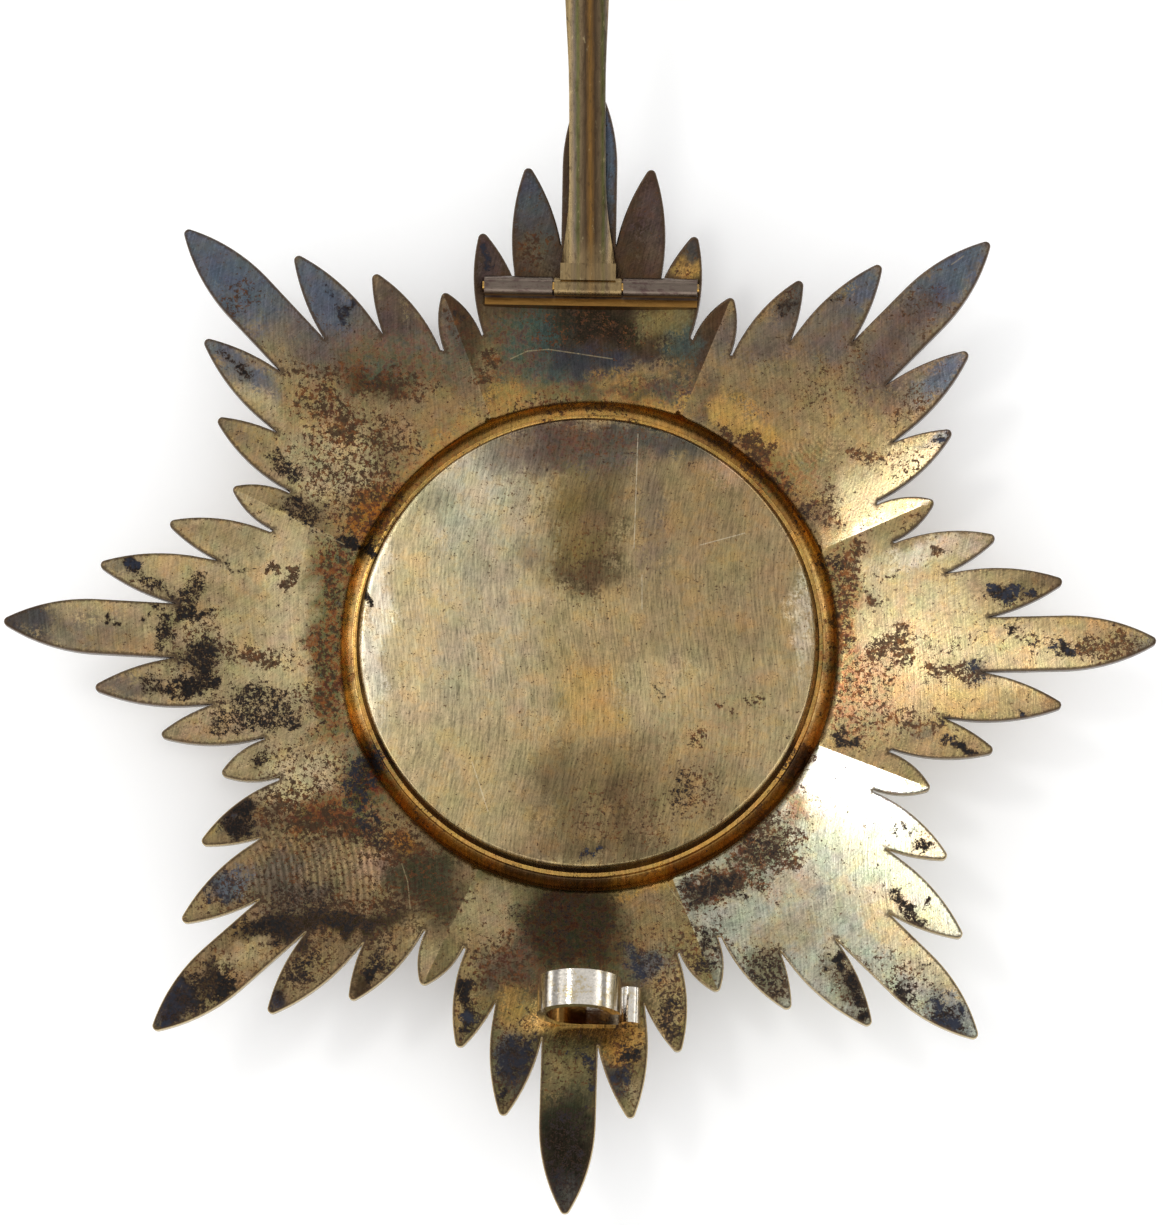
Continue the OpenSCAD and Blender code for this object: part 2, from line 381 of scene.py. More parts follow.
# Every ray as turn, reach, half width and length of its end
def allRays():
    step = 360 / starForm["points"]
    long = starForm["longReach"]
    rays = []
    for i, (turn, more) in enumerate(starForm["byHand"]):
        rays.append((i * step + turn, long * (1 + more), starForm["longHalf"], starForm["longEnd"] * long))
        for side in (-1, 1):
            for turn_, reach, half, end in starForm["sideRays"]:
                rays.append((i * step + side * turn_, reach * long, half * starForm["longHalf"], end * long))
        turn_, reach, half, end = starForm["valleyRay"]
        rays.append((i * step + turn_, reach * long, half * starForm["longHalf"], end * long))
    return rays


# How far one ray reaches in the directions turn, and where its round tip is what is met
def rayReach(turn, ray):
    axis, reach, half, end = ray
    off = np.abs((turn - math.radians(axis) + math.pi) % (2 * math.pi) - math.pi)
    tip = starForm["tipRound"]
    arc = ((end - tip) ** 2 + half**2 - tip**2) / (2 * (half - tip))
    shoulder, drop = reach - end, arc - half
    near = shoulder * np.cos(off) - drop * np.sin(off)
    under = near**2 - (shoulder**2 + drop**2 - arc**2)
    far = near + np.sqrt(np.maximum(under, 0))
    # the tip's circle takes over where the arcs run into it
    middle = reach - tip
    touch = math.atan2(tip * drop / (arc - tip), middle + tip * (end - tip) / (arc - tip))
    atTip = off < touch
    round_ = middle * np.cos(off) + np.sqrt(np.maximum(tip**2 - (middle * np.sin(off)) ** 2, 0))
    start = starForm["flankStart"] * starForm["longReach"]
    onArc = (under > 0) & (far * np.cos(off) > shoulder - half)
    flank = half / np.maximum(np.sin(off), 1e-6)
    onFlank = (flank * np.cos(off) > start) & (flank * np.cos(off) < shoulder)
    found = np.where(onFlank, flank, np.where(onArc, far, 0))
    found = np.where(off < math.pi / 4, found, 0)
    return np.where(atTip, round_, found), atTip


# The outline as stretches between corners, each an array of points going round
def outlineStretches():
    fine = np.linspace(0, 2 * math.pi, 120001)[:-1] + 1e-5
    step = math.pi / starForm["points"]
    place = fine % (2 * step)
    inner = starForm["coreValley"] * starForm["longReach"]
    outer = starForm["corePoint"] * starForm["longReach"]
    off = np.minimum(place, 2 * step - place)
    # the straight edge of the solid middle from a point at (outer, 0) to a valley at angle step
    valley = np.array([inner * math.cos(step), inner * math.sin(step)])
    run = valley - np.array([outer, 0])
    core = outer * run[1] / (run[1] * np.cos(off) - run[0] * np.sin(off))
    best, which = core, np.zeros(len(fine), int) - 1 - (fine // step).astype(int)
    for i, ray in enumerate(allRays()):
        reach, capped = rayReach(fine, ray)
        better = reach > best
        which = np.where(better, 2 * i + capped, which)
        best = np.where(better, reach, best)
    xy = np.stack([best * np.cos(fine), best * np.sin(fine)], 1)
    cuts = np.where(which != np.roll(which, 1))[0]
    first = cuts[0]
    xy, cuts = np.roll(xy, -first, 0), cuts - first
    ends = [*cuts[1:], len(xy)]
    return [np.vstack([xy[a:b], xy[b % len(xy)]]) for a, b in zip(cuts, ends)]


# Evenly spaced points and inward normals along the outline; a notch gets a fan of normals
def outlinePoints(spacing):
    stretches = outlineStretches()
    places, inwards, notches = [], [], []

    def unit(v):
        return v / np.linalg.norm(v)

    def inward(run):
        return np.array([-run[1], run[0]])

    starts = [inward(unit(s[min(3, len(s) - 1)] - s[0])) for s in stretches]
    finishes = [inward(unit(s[-1] - s[-min(4, len(s))])) for s in stretches]
    for i, stretch in enumerate(stretches):
        before, after = finishes[i - 1], starts[i]
        turn = math.atan2(before[0] * after[1] - before[1] * after[0], before @ after)
        if turn < -math.radians(25):  # a notch: the metal lies all round it
            notches.append(stretch[0])
            for share in np.linspace(0, 1, starForm["notchFan"]):
                c, s = math.cos(turn * share), math.sin(turn * share)
                places.append(stretch[0])
                inwards.append([c * before[0] - s * before[1], s * before[0] + c * before[1]])
        else:
            middle = unit(before + after)
            places.append(stretch[0])
            inwards.append(middle / max(0.3, middle @ after))
        lengths = np.r_[0, np.cumsum(np.linalg.norm(np.diff(stretch, axis=0), axis=1))]
        count = max(starForm["leastParts"], round(lengths[-1] / spacing))
        for share in np.arange(1, count) / count:
            at = [np.interp(share * lengths[-1], lengths, stretch[:, k]) for k in (0, 1)]
            near = np.searchsorted(lengths, share * lengths[-1])
            a, b = stretch[max(near - 4, 0)], stretch[min(near + 4, len(stretch) - 1)]
            places.append(at)
            inwards.append(inward(unit(b - a)))
    return np.array(places), np.array(inwards), np.array(notches)


# Points of a three-cornered grid over the star, at least clear from the outline
def gridInside(spacing, outline, innerReach, clear):
    half = starForm["longReach"] * 1.02
    rows = np.arange(-half, half, spacing * math.sqrt(3) / 2)
    grid = []
    for k, y in enumerate(rows):
        xs = np.arange(-half, half, spacing) + (k % 2) * spacing / 2
        grid.append(np.stack([xs, np.full(len(xs), y)], 1))
    grid = np.vstack(grid)
    turns = np.arctan2(outline[:, 1], outline[:, 0]) % (2 * math.pi)
    order = np.argsort(turns)
    reach = np.hypot(grid[:, 0], grid[:, 1])
    turn = np.arctan2(grid[:, 1], grid[:, 0]) % (2 * math.pi)
    limit = np.interp(turn, turns[order], np.hypot(*outline[order].T), period=2 * math.pi)
    fromRim = np.hypot(*(grid - rimCentre).T)
    grid = grid[(reach < limit - clear * 0.5) & (fromRim > innerReach + clear)]
    return grid[nearestGap(grid, outline) > clear]


# Distance from each point to the nearest of others
def nearestGap(points, others):
    gap = np.empty(len(points))
    for a in range(0, len(points), 2000):
        part = points[a : a + 2000]
        square = (part**2).sum(1)[:, None] + (others**2).sum(1)[None, :] - 2 * part @ others.T
        gap[a : a + 2000] = np.sqrt(np.maximum(square.min(1), 0))
    return gap


# Fills the sheet between an outer ring and an inner ring with triangles through the grid's points
def fillSheet(outer, inner, grid, creases):
    points = np.vstack([outer, inner, grid, *creases])
    n, m = len(outer), len(inner)
    edges = [(i, (i + 1) % n) for i in range(n)] + [(n + i, n + (i + 1) % m) for i in range(m)]
    at = n + m + len(grid)
    creaseEdges = []
    for crease in creases:
        creaseEdges += [(at + i, at + i + 1) for i in range(len(crease) - 1)]
        at += len(crease)
    made, _, faces, _, _, _ = delaunay_2d_cdt([Vector(p) for p in points], edges + creaseEdges, [], 0, 1e-6)
    if len(made) != len(points):
        print("sheet points changed", len(points), len(made))
    made = np.array([tuple(p) for p in made])
    faces = np.array([f for f in faces if len(f) == 3])
    middles = made[faces].mean(1)
    fromRim = np.hypot(*(middles - rimCentre).T)
    innerRim = np.hypot(*(inner - rimCentre).T)
    innerTurn = np.arctan2(*(inner - rimCentre).T[::-1]) % (2 * math.pi)
    order = np.argsort(innerTurn)
    turn = np.arctan2(*(middles - rimCentre).T[::-1]) % (2 * math.pi)
    within = np.interp(turn, innerTurn[order], innerRim[order], period=2 * math.pi)
    keep = (fromRim > within * 0.9995) & insideRing(middles, outer)
    return made, faces[keep]


# Whether points lie inside a closed ring, by counting the edges that a line to the right crosses
def insideRing(points, ring):
    inside = np.zeros(len(points), bool)
    nxt = np.roll(ring, -1, 0)
    for (ax, ay), (bx, by) in zip(ring, nxt):
        if ay == by:
            continue
        crosses = (points[:, 1] > min(ay, by)) & (points[:, 1] <= max(ay, by))
        if crosses.any():
            at = ax + (points[crosses, 1] - ay) / (by - ay) * (bx - ax)
            inside[np.where(crosses)[0][points[crosses, 0] < at]] ^= True
    return inside


print("frame loaded")
makeCamera(photoView)
makeLamp(keySoftbox)
makeAir()


# The radius at which the hollow round the rim meets the star's back, for each turn about the rim's middle
def coveMeeting(turns):
    depth = starForm["seat"] - coveFloor
    arc = (rimForm["coveWidth"] ** 2 + depth**2) / (2 * depth)
    way = np.stack([np.cos(turns), np.sin(turns)], 1)
    radius = np.full(len(turns), coveRadius)
    for _ in range(12):
        height = panelHeight(rimCentre + way * radius[:, None])
        radius = stepRadius + np.sqrt(arc**2 - (arc - (height - coveFloor)) ** 2)
    return radius, arc


def makeMesh(name, points, faces):
    mesh = bpy.data.meshes.new(name)
    mesh.from_pydata((np.asarray(points) * mm).tolist(), [], [list(f) for f in faces])
    mesh.validate()
    mesh.shade_smooth()
    piece = bpy.data.objects.new(name, mesh)
    bpy.context.scene.collection.objects.link(piece)
    return piece


# Rings of equally many points joined into bands of four-cornered faces
def bands(firstIndex, ringCount, perRing):
    faces = []
    for k in range(ringCount - 1):
        a = firstIndex + k * perRing
        for i in range(perRing):
            j = (i + 1) % perRing
            faces.append((a + i, a + j, a + perRing + j, a + perRing + i))
    return faces


def makeStar():
    form = starForm
    edge, inward, notches = outlinePoints(form["meshStep"])
    b = form["edgeRound"]
    turns = np.linspace(0, 2 * math.pi, form["roundSteps"], endpoint=False)
    way = np.stack([np.cos(turns), np.sin(turns)], 1)
    meet, arc = coveMeeting(turns)
    innerTop = rimCentre + way * meet[:, None]
    ringA = edge + inward * b
    ringB = edge + inward * (b + form["edgeBand"])
    step = math.pi / form["points"]
    creases = []
    for k in range(form["points"]):
        turn = (2 * k + 1) * step
        line = np.array([math.cos(turn), math.sin(turn)])
        start = np.interp(turn, turns, np.hypot(*innerTop.T)) + 0.25
        near = np.abs((np.arctan2(edge[:, 1], edge[:, 0]) - turn + math.pi) % (2 * math.pi) - math.pi) < 0.004
        stop = np.hypot(*edge[near].T).max() - 0.5 if near.any() else 28.5
        creases.append(line * np.arange(start, stop, form["meshStep"])[:, None])
    print("outline points", len(edge))
    allCreases = np.vstack(creases)
    grid = gridInside(form["meshStep"], edge, coveRadius + 0.12, b + form["edgeBand"] + 0.14)
    grid = grid[nearestGap(grid, allCreases) > form["meshStep"] * 0.55]
    topXY, topFaces = fillSheet(ringB, innerTop, grid, creases)
    topZ = panelHeight(topXY)
    print("sheet points", len(topXY))
    points = [np.column_stack([topXY, topZ])]
    faces = [tuple(f) for f in topFaces]
    count = len(topXY)

    # the rounded edge, the wall and the lower edge, ring by ring from the top's own ring
    edgeHigh = panelHeight(edge + inward * b * 0.5)
    thick = form["sheet"] / math.cos(math.radians(form["rise"]))
    rings = [(ringB, panelHeight(ringB)), (ringA, panelHeight(ringA))]
    for bend in (30, 60, 90):
        turn = math.radians(bend)
        rings.append((edge + inward * b * (1 - math.sin(turn)), edgeHigh - b * (1 - math.cos(turn))))
    rings.append((edge, edgeHigh - thick + b))
    rings.append((edge + inward * b * 0.3, edgeHigh - thick + b * 0.3))
    rings.append((ringA, panelHeight(ringA) - thick))
    for xy, z in rings:
        points.append(np.column_stack([xy, z]))
    faces += bands(count, len(rings), len(edge))
    count += len(rings) * len(edge)

    # the underside
    seam = coveRadius + rimForm["overlap"]
    innerUnder = rimCentre + way * seam
    underGrid = gridInside(form["underStep"], edge, seam, 0.7)
    underXY, underFaces = fillSheet(ringA, innerUnder, underGrid, [])
    points.append(np.column_stack([underXY, panelHeight(underXY) - thick]))
    faces += [tuple(count + i for i in f[::-1]) for f in underFaces]
    count += len(underXY)

    # the rim, turned: from the underside round the inner wall to the hollow
    back, top = rimForm["backRadius"], rimForm["backHeight"] - rimForm["backThick"]
    soft = 0.06
    flat = np.ones(len(turns))
    profile = [
        (seam, None),
        (back + rimForm["flare"], coveFloor - rimForm["wall"]),
        (back + rimForm["flare"], rimForm["medallionThick"]),
        (back - rimForm["wall"], rimForm["medallionThick"]),
        (back - rimForm["wall"], top),
        (back - rimForm["lip"] - soft, top),
        (back - rimForm["lip"], top - soft),
        (back + rimForm["flare"] * 0.5, (top + stepHeight) / 2),
        (back + rimForm["flare"], stepHeight + 0.03),
        (back + rimForm["flare"] + 0.03, stepHeight),
        (stepRadius - soft, stepHeight),
        (stepRadius - soft * 0.3, stepHeight - soft * 0.3),
        (stepRadius, stepHeight - soft),
        (stepRadius, coveFloor + 0.25),
    ]
    rimRings = []
    for radius, height in profile:
        xy = rimCentre + way * radius
        z = panelHeight(xy) - thick if height is None else flat * height
        rimRings.append(np.column_stack([xy, z]))
    for share in np.linspace(0, 1, 9):
        radius = stepRadius + (meet - stepRadius) * share
        z = coveFloor + arc - np.sqrt(arc**2 - (radius - stepRadius) ** 2)
        rimRings.append(np.column_stack([rimCentre + way * radius[:, None], z]))
    points += rimRings
    faces += bands(count, len(rimRings), len(turns))
    star = makeMesh("rayedStar", np.vstack(points), faces)
    work = bmesh.new()
    work.from_mesh(star.data)
    bmesh.ops.remove_doubles(work, verts=work.verts, dist=0.002 * mm)
    bmesh.ops.recalc_face_normals(work, faces=work.faces)
    for line in work.edges:
        if len(line.link_faces) == 2 and line.calc_face_angle(0) > math.radians(3):
            middle = (line.verts[0].co + line.verts[1].co) / 2 / mm
            turn = math.atan2(middle.y, middle.x) % (2 * step) - step
            if abs(turn) * middle.xy.length < 0.03 and middle.xy.length > coveRadius + 1:
                line.smooth = False
    work.to_mesh(star.data)
    work.free()
    return star, edge, notches


def vertexPlaces(piece):
    places = np.empty(len(piece.data.vertices) * 3)
    piece.data.vertices.foreach_get("co", places)
    return places.reshape(-1, 3) / mm


def storeNumbers(piece, name, numbers):
    layer = piece.data.attributes.new(name, "FLOAT", "POINT")
    layer.data.foreach_set("value", np.asarray(numbers, np.float32))


# Colours are kept on the faces' corners, so that a border of colours can follow a crease
def storeColours(piece, name, colours):
    layer = piece.data.color_attributes.new(name, "FLOAT_COLOR", "CORNER")
    full = np.column_stack([colours, np.ones(len(colours))]).astype(np.float32)
    layer.data.foreach_set("color", full.ravel())


# Cells a millimetre of each shaking of painted borders, and its reach in the picture's pixels
shakes = ((0.3, 13), (0.9, 12), (2.2, 6))


# Two layers of the same washes, shaken apart from each other; fine noise picks between them
washLayers = {"washA": 0.0, "washB": 40.0}


# The vertex of each face corner, and the middle of the face that the corner belongs to
def cornerPlaces(piece, places):
    vertex = np.empty(len(piece.data.loops), np.int32)
    piece.data.loops.foreach_get("vertex_index", vertex)
    sizes = np.empty(len(piece.data.polygons), np.int32)
    piece.data.polygons.foreach_get("loop_total", sizes)
    faceOf = np.repeat(np.arange(len(sizes)), sizes)
    middles = [np.bincount(faceOf, places[vertex, k]) / sizes for k in range(3)]
    return vertex, np.stack(middles, 1)[faceOf]


# Places in the picture of a piece's vertices, shaken so that painted borders look natural
def shakenPlaces(places, apart=0.0):
    across, down = picturePlace(places)
    for cells, reach in shakes:
        moves = [noise.noise_vector(Vector(place) * cells + Vector((apart, 0, 0)))[:2] for place in places]
        across, down = (a + reach * m for a, m in zip((across, down), np.array(moves).T))
    return across, down


# How far strokes cover places of the picture. A stroke fades outward from its middle.
# Its columns: x, y, half length and half width in the picture's pixels, turn in degrees, strength
def covered(at, strokes):
    bare = np.ones(len(at[0]))
    for x, y, long, wide, turn, strength in strokes:
        c, s = math.cos(math.radians(turn)), math.sin(math.radians(turn))
        right, up = at[0] - x, y - at[1]
        apart = np.abs((right * c + up * s) / long) ** 3 + np.abs((up * c - right * s) / wide) ** 3
        bare *= 1 - strength / (1 + apart**2.3)
    return 1 - bare


# Lays washes of colour over a tone. A wash is a colour's name and then a stroke.
def washed(tone, at, washes):
    colours = np.tile(palette[tone], (len(at[0]), 1))
    for name, *stroke in washes:
        share = covered(at, [stroke])[:, None]
        colours = colours * (1 - share) + np.array(palette[name]) * share
    return colours


# The point of a level at a height in millimetres that the picture shows at x, y
def levelPlace(x, y, height):
    at = np.zeros(2)
    for _ in range(8):
        across, down = picturePlace(np.array([[*at, height]]))
        at += np.array([x - across[0], down[0] - y]) / photoView["pixelsPerMm"]
    return tuple(float(v) for v in at)


# The tones of the eight panels with their rays, going round from +X: a tone, then washes over it. Besides the metal's
# stains, the tones carry painted reflection: each panel is as bright or dark as its tilt towards the lamp makes it.
panelTonesAndReflections = (
    ("khaki", (
        ("champagne", 905, 610, 75, 60, 0, 0.9), ("champagne", 1010, 655, 80, 30, 0, 0.7),
        ("cream", 935, 552, 46, 12, 14, 0.7), ("gold", 838, 600, 16, 48, 0, 0.6),
        ("rose", 868, 690, 38, 34, 0, 0.5), ("rust", 850, 665, 14, 40, 0, 0.35),
        ("beige", 985, 655, 60, 22, 0, 0.5), ("slate", 975, 672, 18, 13, 0, 0.6),
        ("bronze", 1115, 645, 42, 18, 0, 0.75), ("brown", 1040, 580, 34, 10, 8, 0.7),
        ("slate", 925, 731, 22, 10, 10, 0.6), ("greyBrown", 1150, 648, 18, 16, 0, 0.9), ("brown", 1056, 706, 12, 10, 0, 0.8),
        ("brown", 1056, 582, 12, 9, 0, 0.7), ("bronze", 1030, 706, 34, 9, -6, 0.6),
        ("rose", 960, 548, 30, 9, 8, 0.5),
    )),
    ("bronze", (
        ("steel", 950, 276, 54, 22, 47, 1.0), ("greyBrown", 895, 345, 50, 30, 47, 0.9),
        ("plum", 905, 325, 40, 14, 47, 0.5), ("steel", 862, 290, 30, 16, 62, 0.95),
        ("greyBrown", 830, 330, 34, 22, 58, 0.9), ("slate", 792, 300, 26, 16, 66, 0.9),
        ("greyBrown", 770, 340, 30, 20, 50, 0.7), ("greyBrown", 722, 330, 16, 26, -15, 0.8),
        ("steel", 946, 374, 36, 15, 38, 0.95), ("steel", 940, 438, 18, 10, 30, 0.85),
        ("plum", 880, 385, 22, 30, 10, 0.6), ("khaki", 838, 440, 50, 40, 0, 0.8),
        ("gold", 740, 424, 50, 16, -35, 0.8), ("copper", 768, 474, 48, 14, -48, 0.7),
        # painted highlight: the champagne and cream strokes by the lower crease, where this panel turns towards the
        # lamp
        ("champagne", 868, 505, 36, 30, 0, 0.8), ("cream", 888, 524, 50, 8, 24, 0.8),
        ("champagne", 912, 466, 28, 24, 30, 0.85), ("umber", 822, 512, 14, 18, 0, 0.6),
        ("slate", 704, 400, 10, 26, -18, 0.6),
    )),
    ("umber", (
        ("slate", 540, 210, 20, 50, 0, 1.0), ("brown", 536, 258, 16, 18, 0, 0.5), ("steel", 528, 195, 14, 30, 0, 0.4),
        ("plum", 486, 258, 13, 26, 0, 0.9), ("plum", 655, 225, 15, 44, 0, 0.9), ("brown", 652, 250, 12, 16, 0, 0.4),
        ("slate", 693, 246, 9, 14, 0, 0.8), ("gold", 684, 270, 15, 9, 0, 0.8), ("steel", 602, 150, 16, 60, 0, 1.0),
        ("soot", 596, 326, 70, 18, 0, 0.95), ("teal", 530, 345, 30, 34, 0, 0.85), ("brown", 486, 330, 10, 30, 0, 0.6),
        ("slate", 592, 372, 70, 18, 0, 0.9), ("ink", 590, 364, 42, 14, 0, 0.5), ("teal", 540, 386, 26, 14, 0, 0.8),
        ("bronze", 484, 368, 14, 18, 0, 0.8), ("olive", 668, 322, 28, 16, 0, 0.8), ("teal", 686, 345, 16, 14, 0, 0.7),
        ("bronze", 655, 374, 36, 10, 0, 0.9), ("gold", 620, 382, 26, 6, 0, 0.5), ("slate", 672, 393, 24, 9, 0, 0.8),
        ("khaki", 592, 418, 110, 18, 0, 0.95), ("gold", 504, 402, 28, 20, 35, 0.9), ("gold", 670, 412, 30, 10, 0, 0.8),
        ("olive", 560, 398, 40, 8, 0, 0.6), ("ochre", 640, 404, 30, 8, 0, 0.5),
    )),
    ("khaki", (
        ("greyBrown", 370, 345, 100, 44, -20, 1.0), ("steel", 222, 268, 74, 34, -43, 1.0),
        ("steel", 318, 290, 44, 22, -62, 0.95), ("steel", 238, 366, 44, 17, -38, 0.9),
        ("plum", 392, 306, 36, 20, -68, 0.85), ("slate", 456, 326, 30, 16, -72, 0.85),
        ("brown", 395, 376, 70, 24, -14, 0.9), ("bronze", 425, 410, 46, 24, -10, 0.9),
        ("umber", 374, 385, 28, 13, -10, 1.0), ("sepia", 366, 388, 14, 8, 0, 0.8),
        ("teal", 382, 370, 18, 9, 0, 0.6), ("greyBrown", 232, 430, 26, 10, -28, 0.6),
        ("gold", 442, 452, 54, 13, 42, 0.7), ("champagne", 325, 462, 44, 34, 0, 0.8),
        ("amber", 376, 508, 18, 34, -38, 1.0), ("bronze", 392, 448, 24, 30, 0, 0.7),
        ("champagne", 262, 404, 30, 10, -34, 0.5), ("brown", 302, 510, 34, 14, -25, 0.6),
    )),
    ("beige", (
        ("champagne", 284, 610, 26, 74, 0, 0.9), ("olive", 330, 590, 20, 52, 0, 0.9),
        ("olive", 330, 684, 16, 54, 0, 0.9), ("rust", 336, 620, 12, 50, 0, 0.45),
        ("brown", 198, 660, 24, 15, 0, 0.6), ("slate", 26, 624, 30, 17, 0, 1.0), ("greyBrown", 118, 692, 24, 12, 5, 0.6), ("bronze", 190, 740, 26, 12, 10, 0.6),
        ("greyBrown", 88, 634, 44, 16, 0, 0.6), ("bronze", 125, 652, 40, 20, 0, 0.5),
        ("bronze", 210, 600, 50, 16, 0, 0.5), ("rose", 214, 728, 34, 10, 10, 0.5),
        ("bronze", 212, 532, 40, 12, -10, 0.5), ("greyBrown", 112, 566, 20, 10, -5, 0.7),
        ("greyBrown", 130, 688, 34, 9, 5, 0.6), ("beige", 240, 620, 26, 60, 0, 0.5),
    )),
    ("bronze", (
        ("champagne", 300, 776, 44, 22, 18, 0.9), ("beige", 225, 776, 24, 10, 15, 0.6),
        ("khaki", 344, 800, 13, 34, -35, 0.9), ("khaki", 382, 830, 26, 9, -40, 0.8),
        ("soot", 370, 778, 16, 40, -32, 1.0), ("teal", 354, 760, 10, 14, 0, 0.5),
        ("wine", 372, 786, 8, 12, 0, 0.7), ("rust", 320, 810, 20, 10, 0, 0.8),
        ("umber", 338, 828, 28, 8, -10, 0.9), ("amber", 400, 836, 16, 8, -40, 0.8),
        ("rose", 376, 864, 15, 18, -30, 0.7), ("pine", 428, 884, 46, 26, -38, 0.9),
        ("slate", 298, 880, 40, 32, 0, 0.7), ("khaki", 330, 868, 30, 13, 20, 0.6),
        ("soot", 330, 926, 88, 11, 4, 0.9), ("khaki", 214, 832, 16, 8, 28, 0.7),
        ("khaki", 196, 906, 20, 10, 30, 0.8), ("steel", 232, 882, 24, 12, 30, 0.9),
        ("ink", 238, 820, 19, 9, 22, 0.9), ("brown", 274, 820, 18, 16, 0, 0.7),
        ("ink", 170, 1008, 24, 14, 45, 0.95), ("soot", 212, 978, 20, 12, 45, 0.7),
        ("beige", 246, 960, 22, 12, 45, 0.85), ("khaki", 228, 990, 30, 5, 45, 0.7),
        ("ink", 277, 1000, 12, 11, 45, 0.9), ("khaki", 305, 972, 22, 16, 50, 0.7),
        ("soot", 358, 982, 9, 18, 10, 0.8), ("khaki", 385, 958, 12, 22, 0, 0.7),
        ("beige", 425, 962, 16, 26, 0, 0.9),
    )),
    ("olive", (
        ("soot", 574, 925, 60, 50, 0, 1.0), ("plum", 505, 962, 28, 24, 0, 0.9),
        ("beige", 490, 915, 26, 32, 0, 1.0), ("khaki", 466, 948, 16, 22, 0, 0.8),
        ("bronze", 656, 915, 28, 34, 0, 0.9), ("gold", 648, 878, 24, 9, 8, 0.9),
        ("steel", 648, 966, 18, 16, 0, 0.8), ("umber", 590, 990, 60, 12, 0, 0.8),
        ("gold", 592, 1030, 52, 10, 0, 0.9), ("khaki", 462, 1000, 14, 42, -12, 0.9),
        ("gold", 512, 1015, 11, 34, 0, 0.8), ("steel", 508, 1050, 12, 20, 0, 0.7), ("ink", 520, 1068, 16, 28, 0, 0.7),
        ("olive", 560, 1064, 26, 34, 0, 0.9), ("khaki", 556, 1078, 11, 18, 0, 0.6),
        ("pine", 567, 1140, 34, 50, 0, 1.0), ("soot", 570, 1160, 30, 40, 0, 0.8), ("slate", 567, 1204, 26, 24, 0, 0.8),
        ("ochre", 620, 1046, 17, 16, 0, 0.9), ("ink", 612, 1078, 16, 16, 0, 0.8),
        ("beige", 636, 1108, 9, 26, 0, 0.8), ("khaki", 670, 1000, 22, 34, 0, 0.85),
        ("orange", 541, 1024, 10, 12, 0, 1.0),
    )),
    ("silver", (
        # painted highlight: the two white strokes are the lamp's reflection on this panel
        ("white", 866, 790, 46, 30, -14, 1.0), ("white", 830, 772, 22, 16, -20, 0.9),
        ("rose", 790, 884, 18, 14, 0, 0.5), ("slate", 815, 892, 9, 8, 0, 0.35),
        ("olive", 764, 842, 38, 15, 46, 0.75), ("rust", 797, 800, 9, 16, 30, 0.6),
        ("umber", 708, 886, 30, 13, 18, 0.8), ("champagne", 905, 935, 66, 24, -45, 0.7),
        ("steel", 950, 1012, 28, 15, -45, 0.75), ("gold", 951, 982, 12, 10, 0, 0.4),
        ("olive", 768, 975, 18, 32, 22, 0.75), ("brown", 848, 985, 16, 34, 24, 0.75),
        ("olive", 708, 962, 13, 26, 18, 0.6), ("olive", 920, 776, 20, 8, -22, 0.5),
        ("khaki", 790, 930, 40, 20, 20, 0.5), ("beige", 930, 850, 24, 12, -35, 0.6),
    )),
)

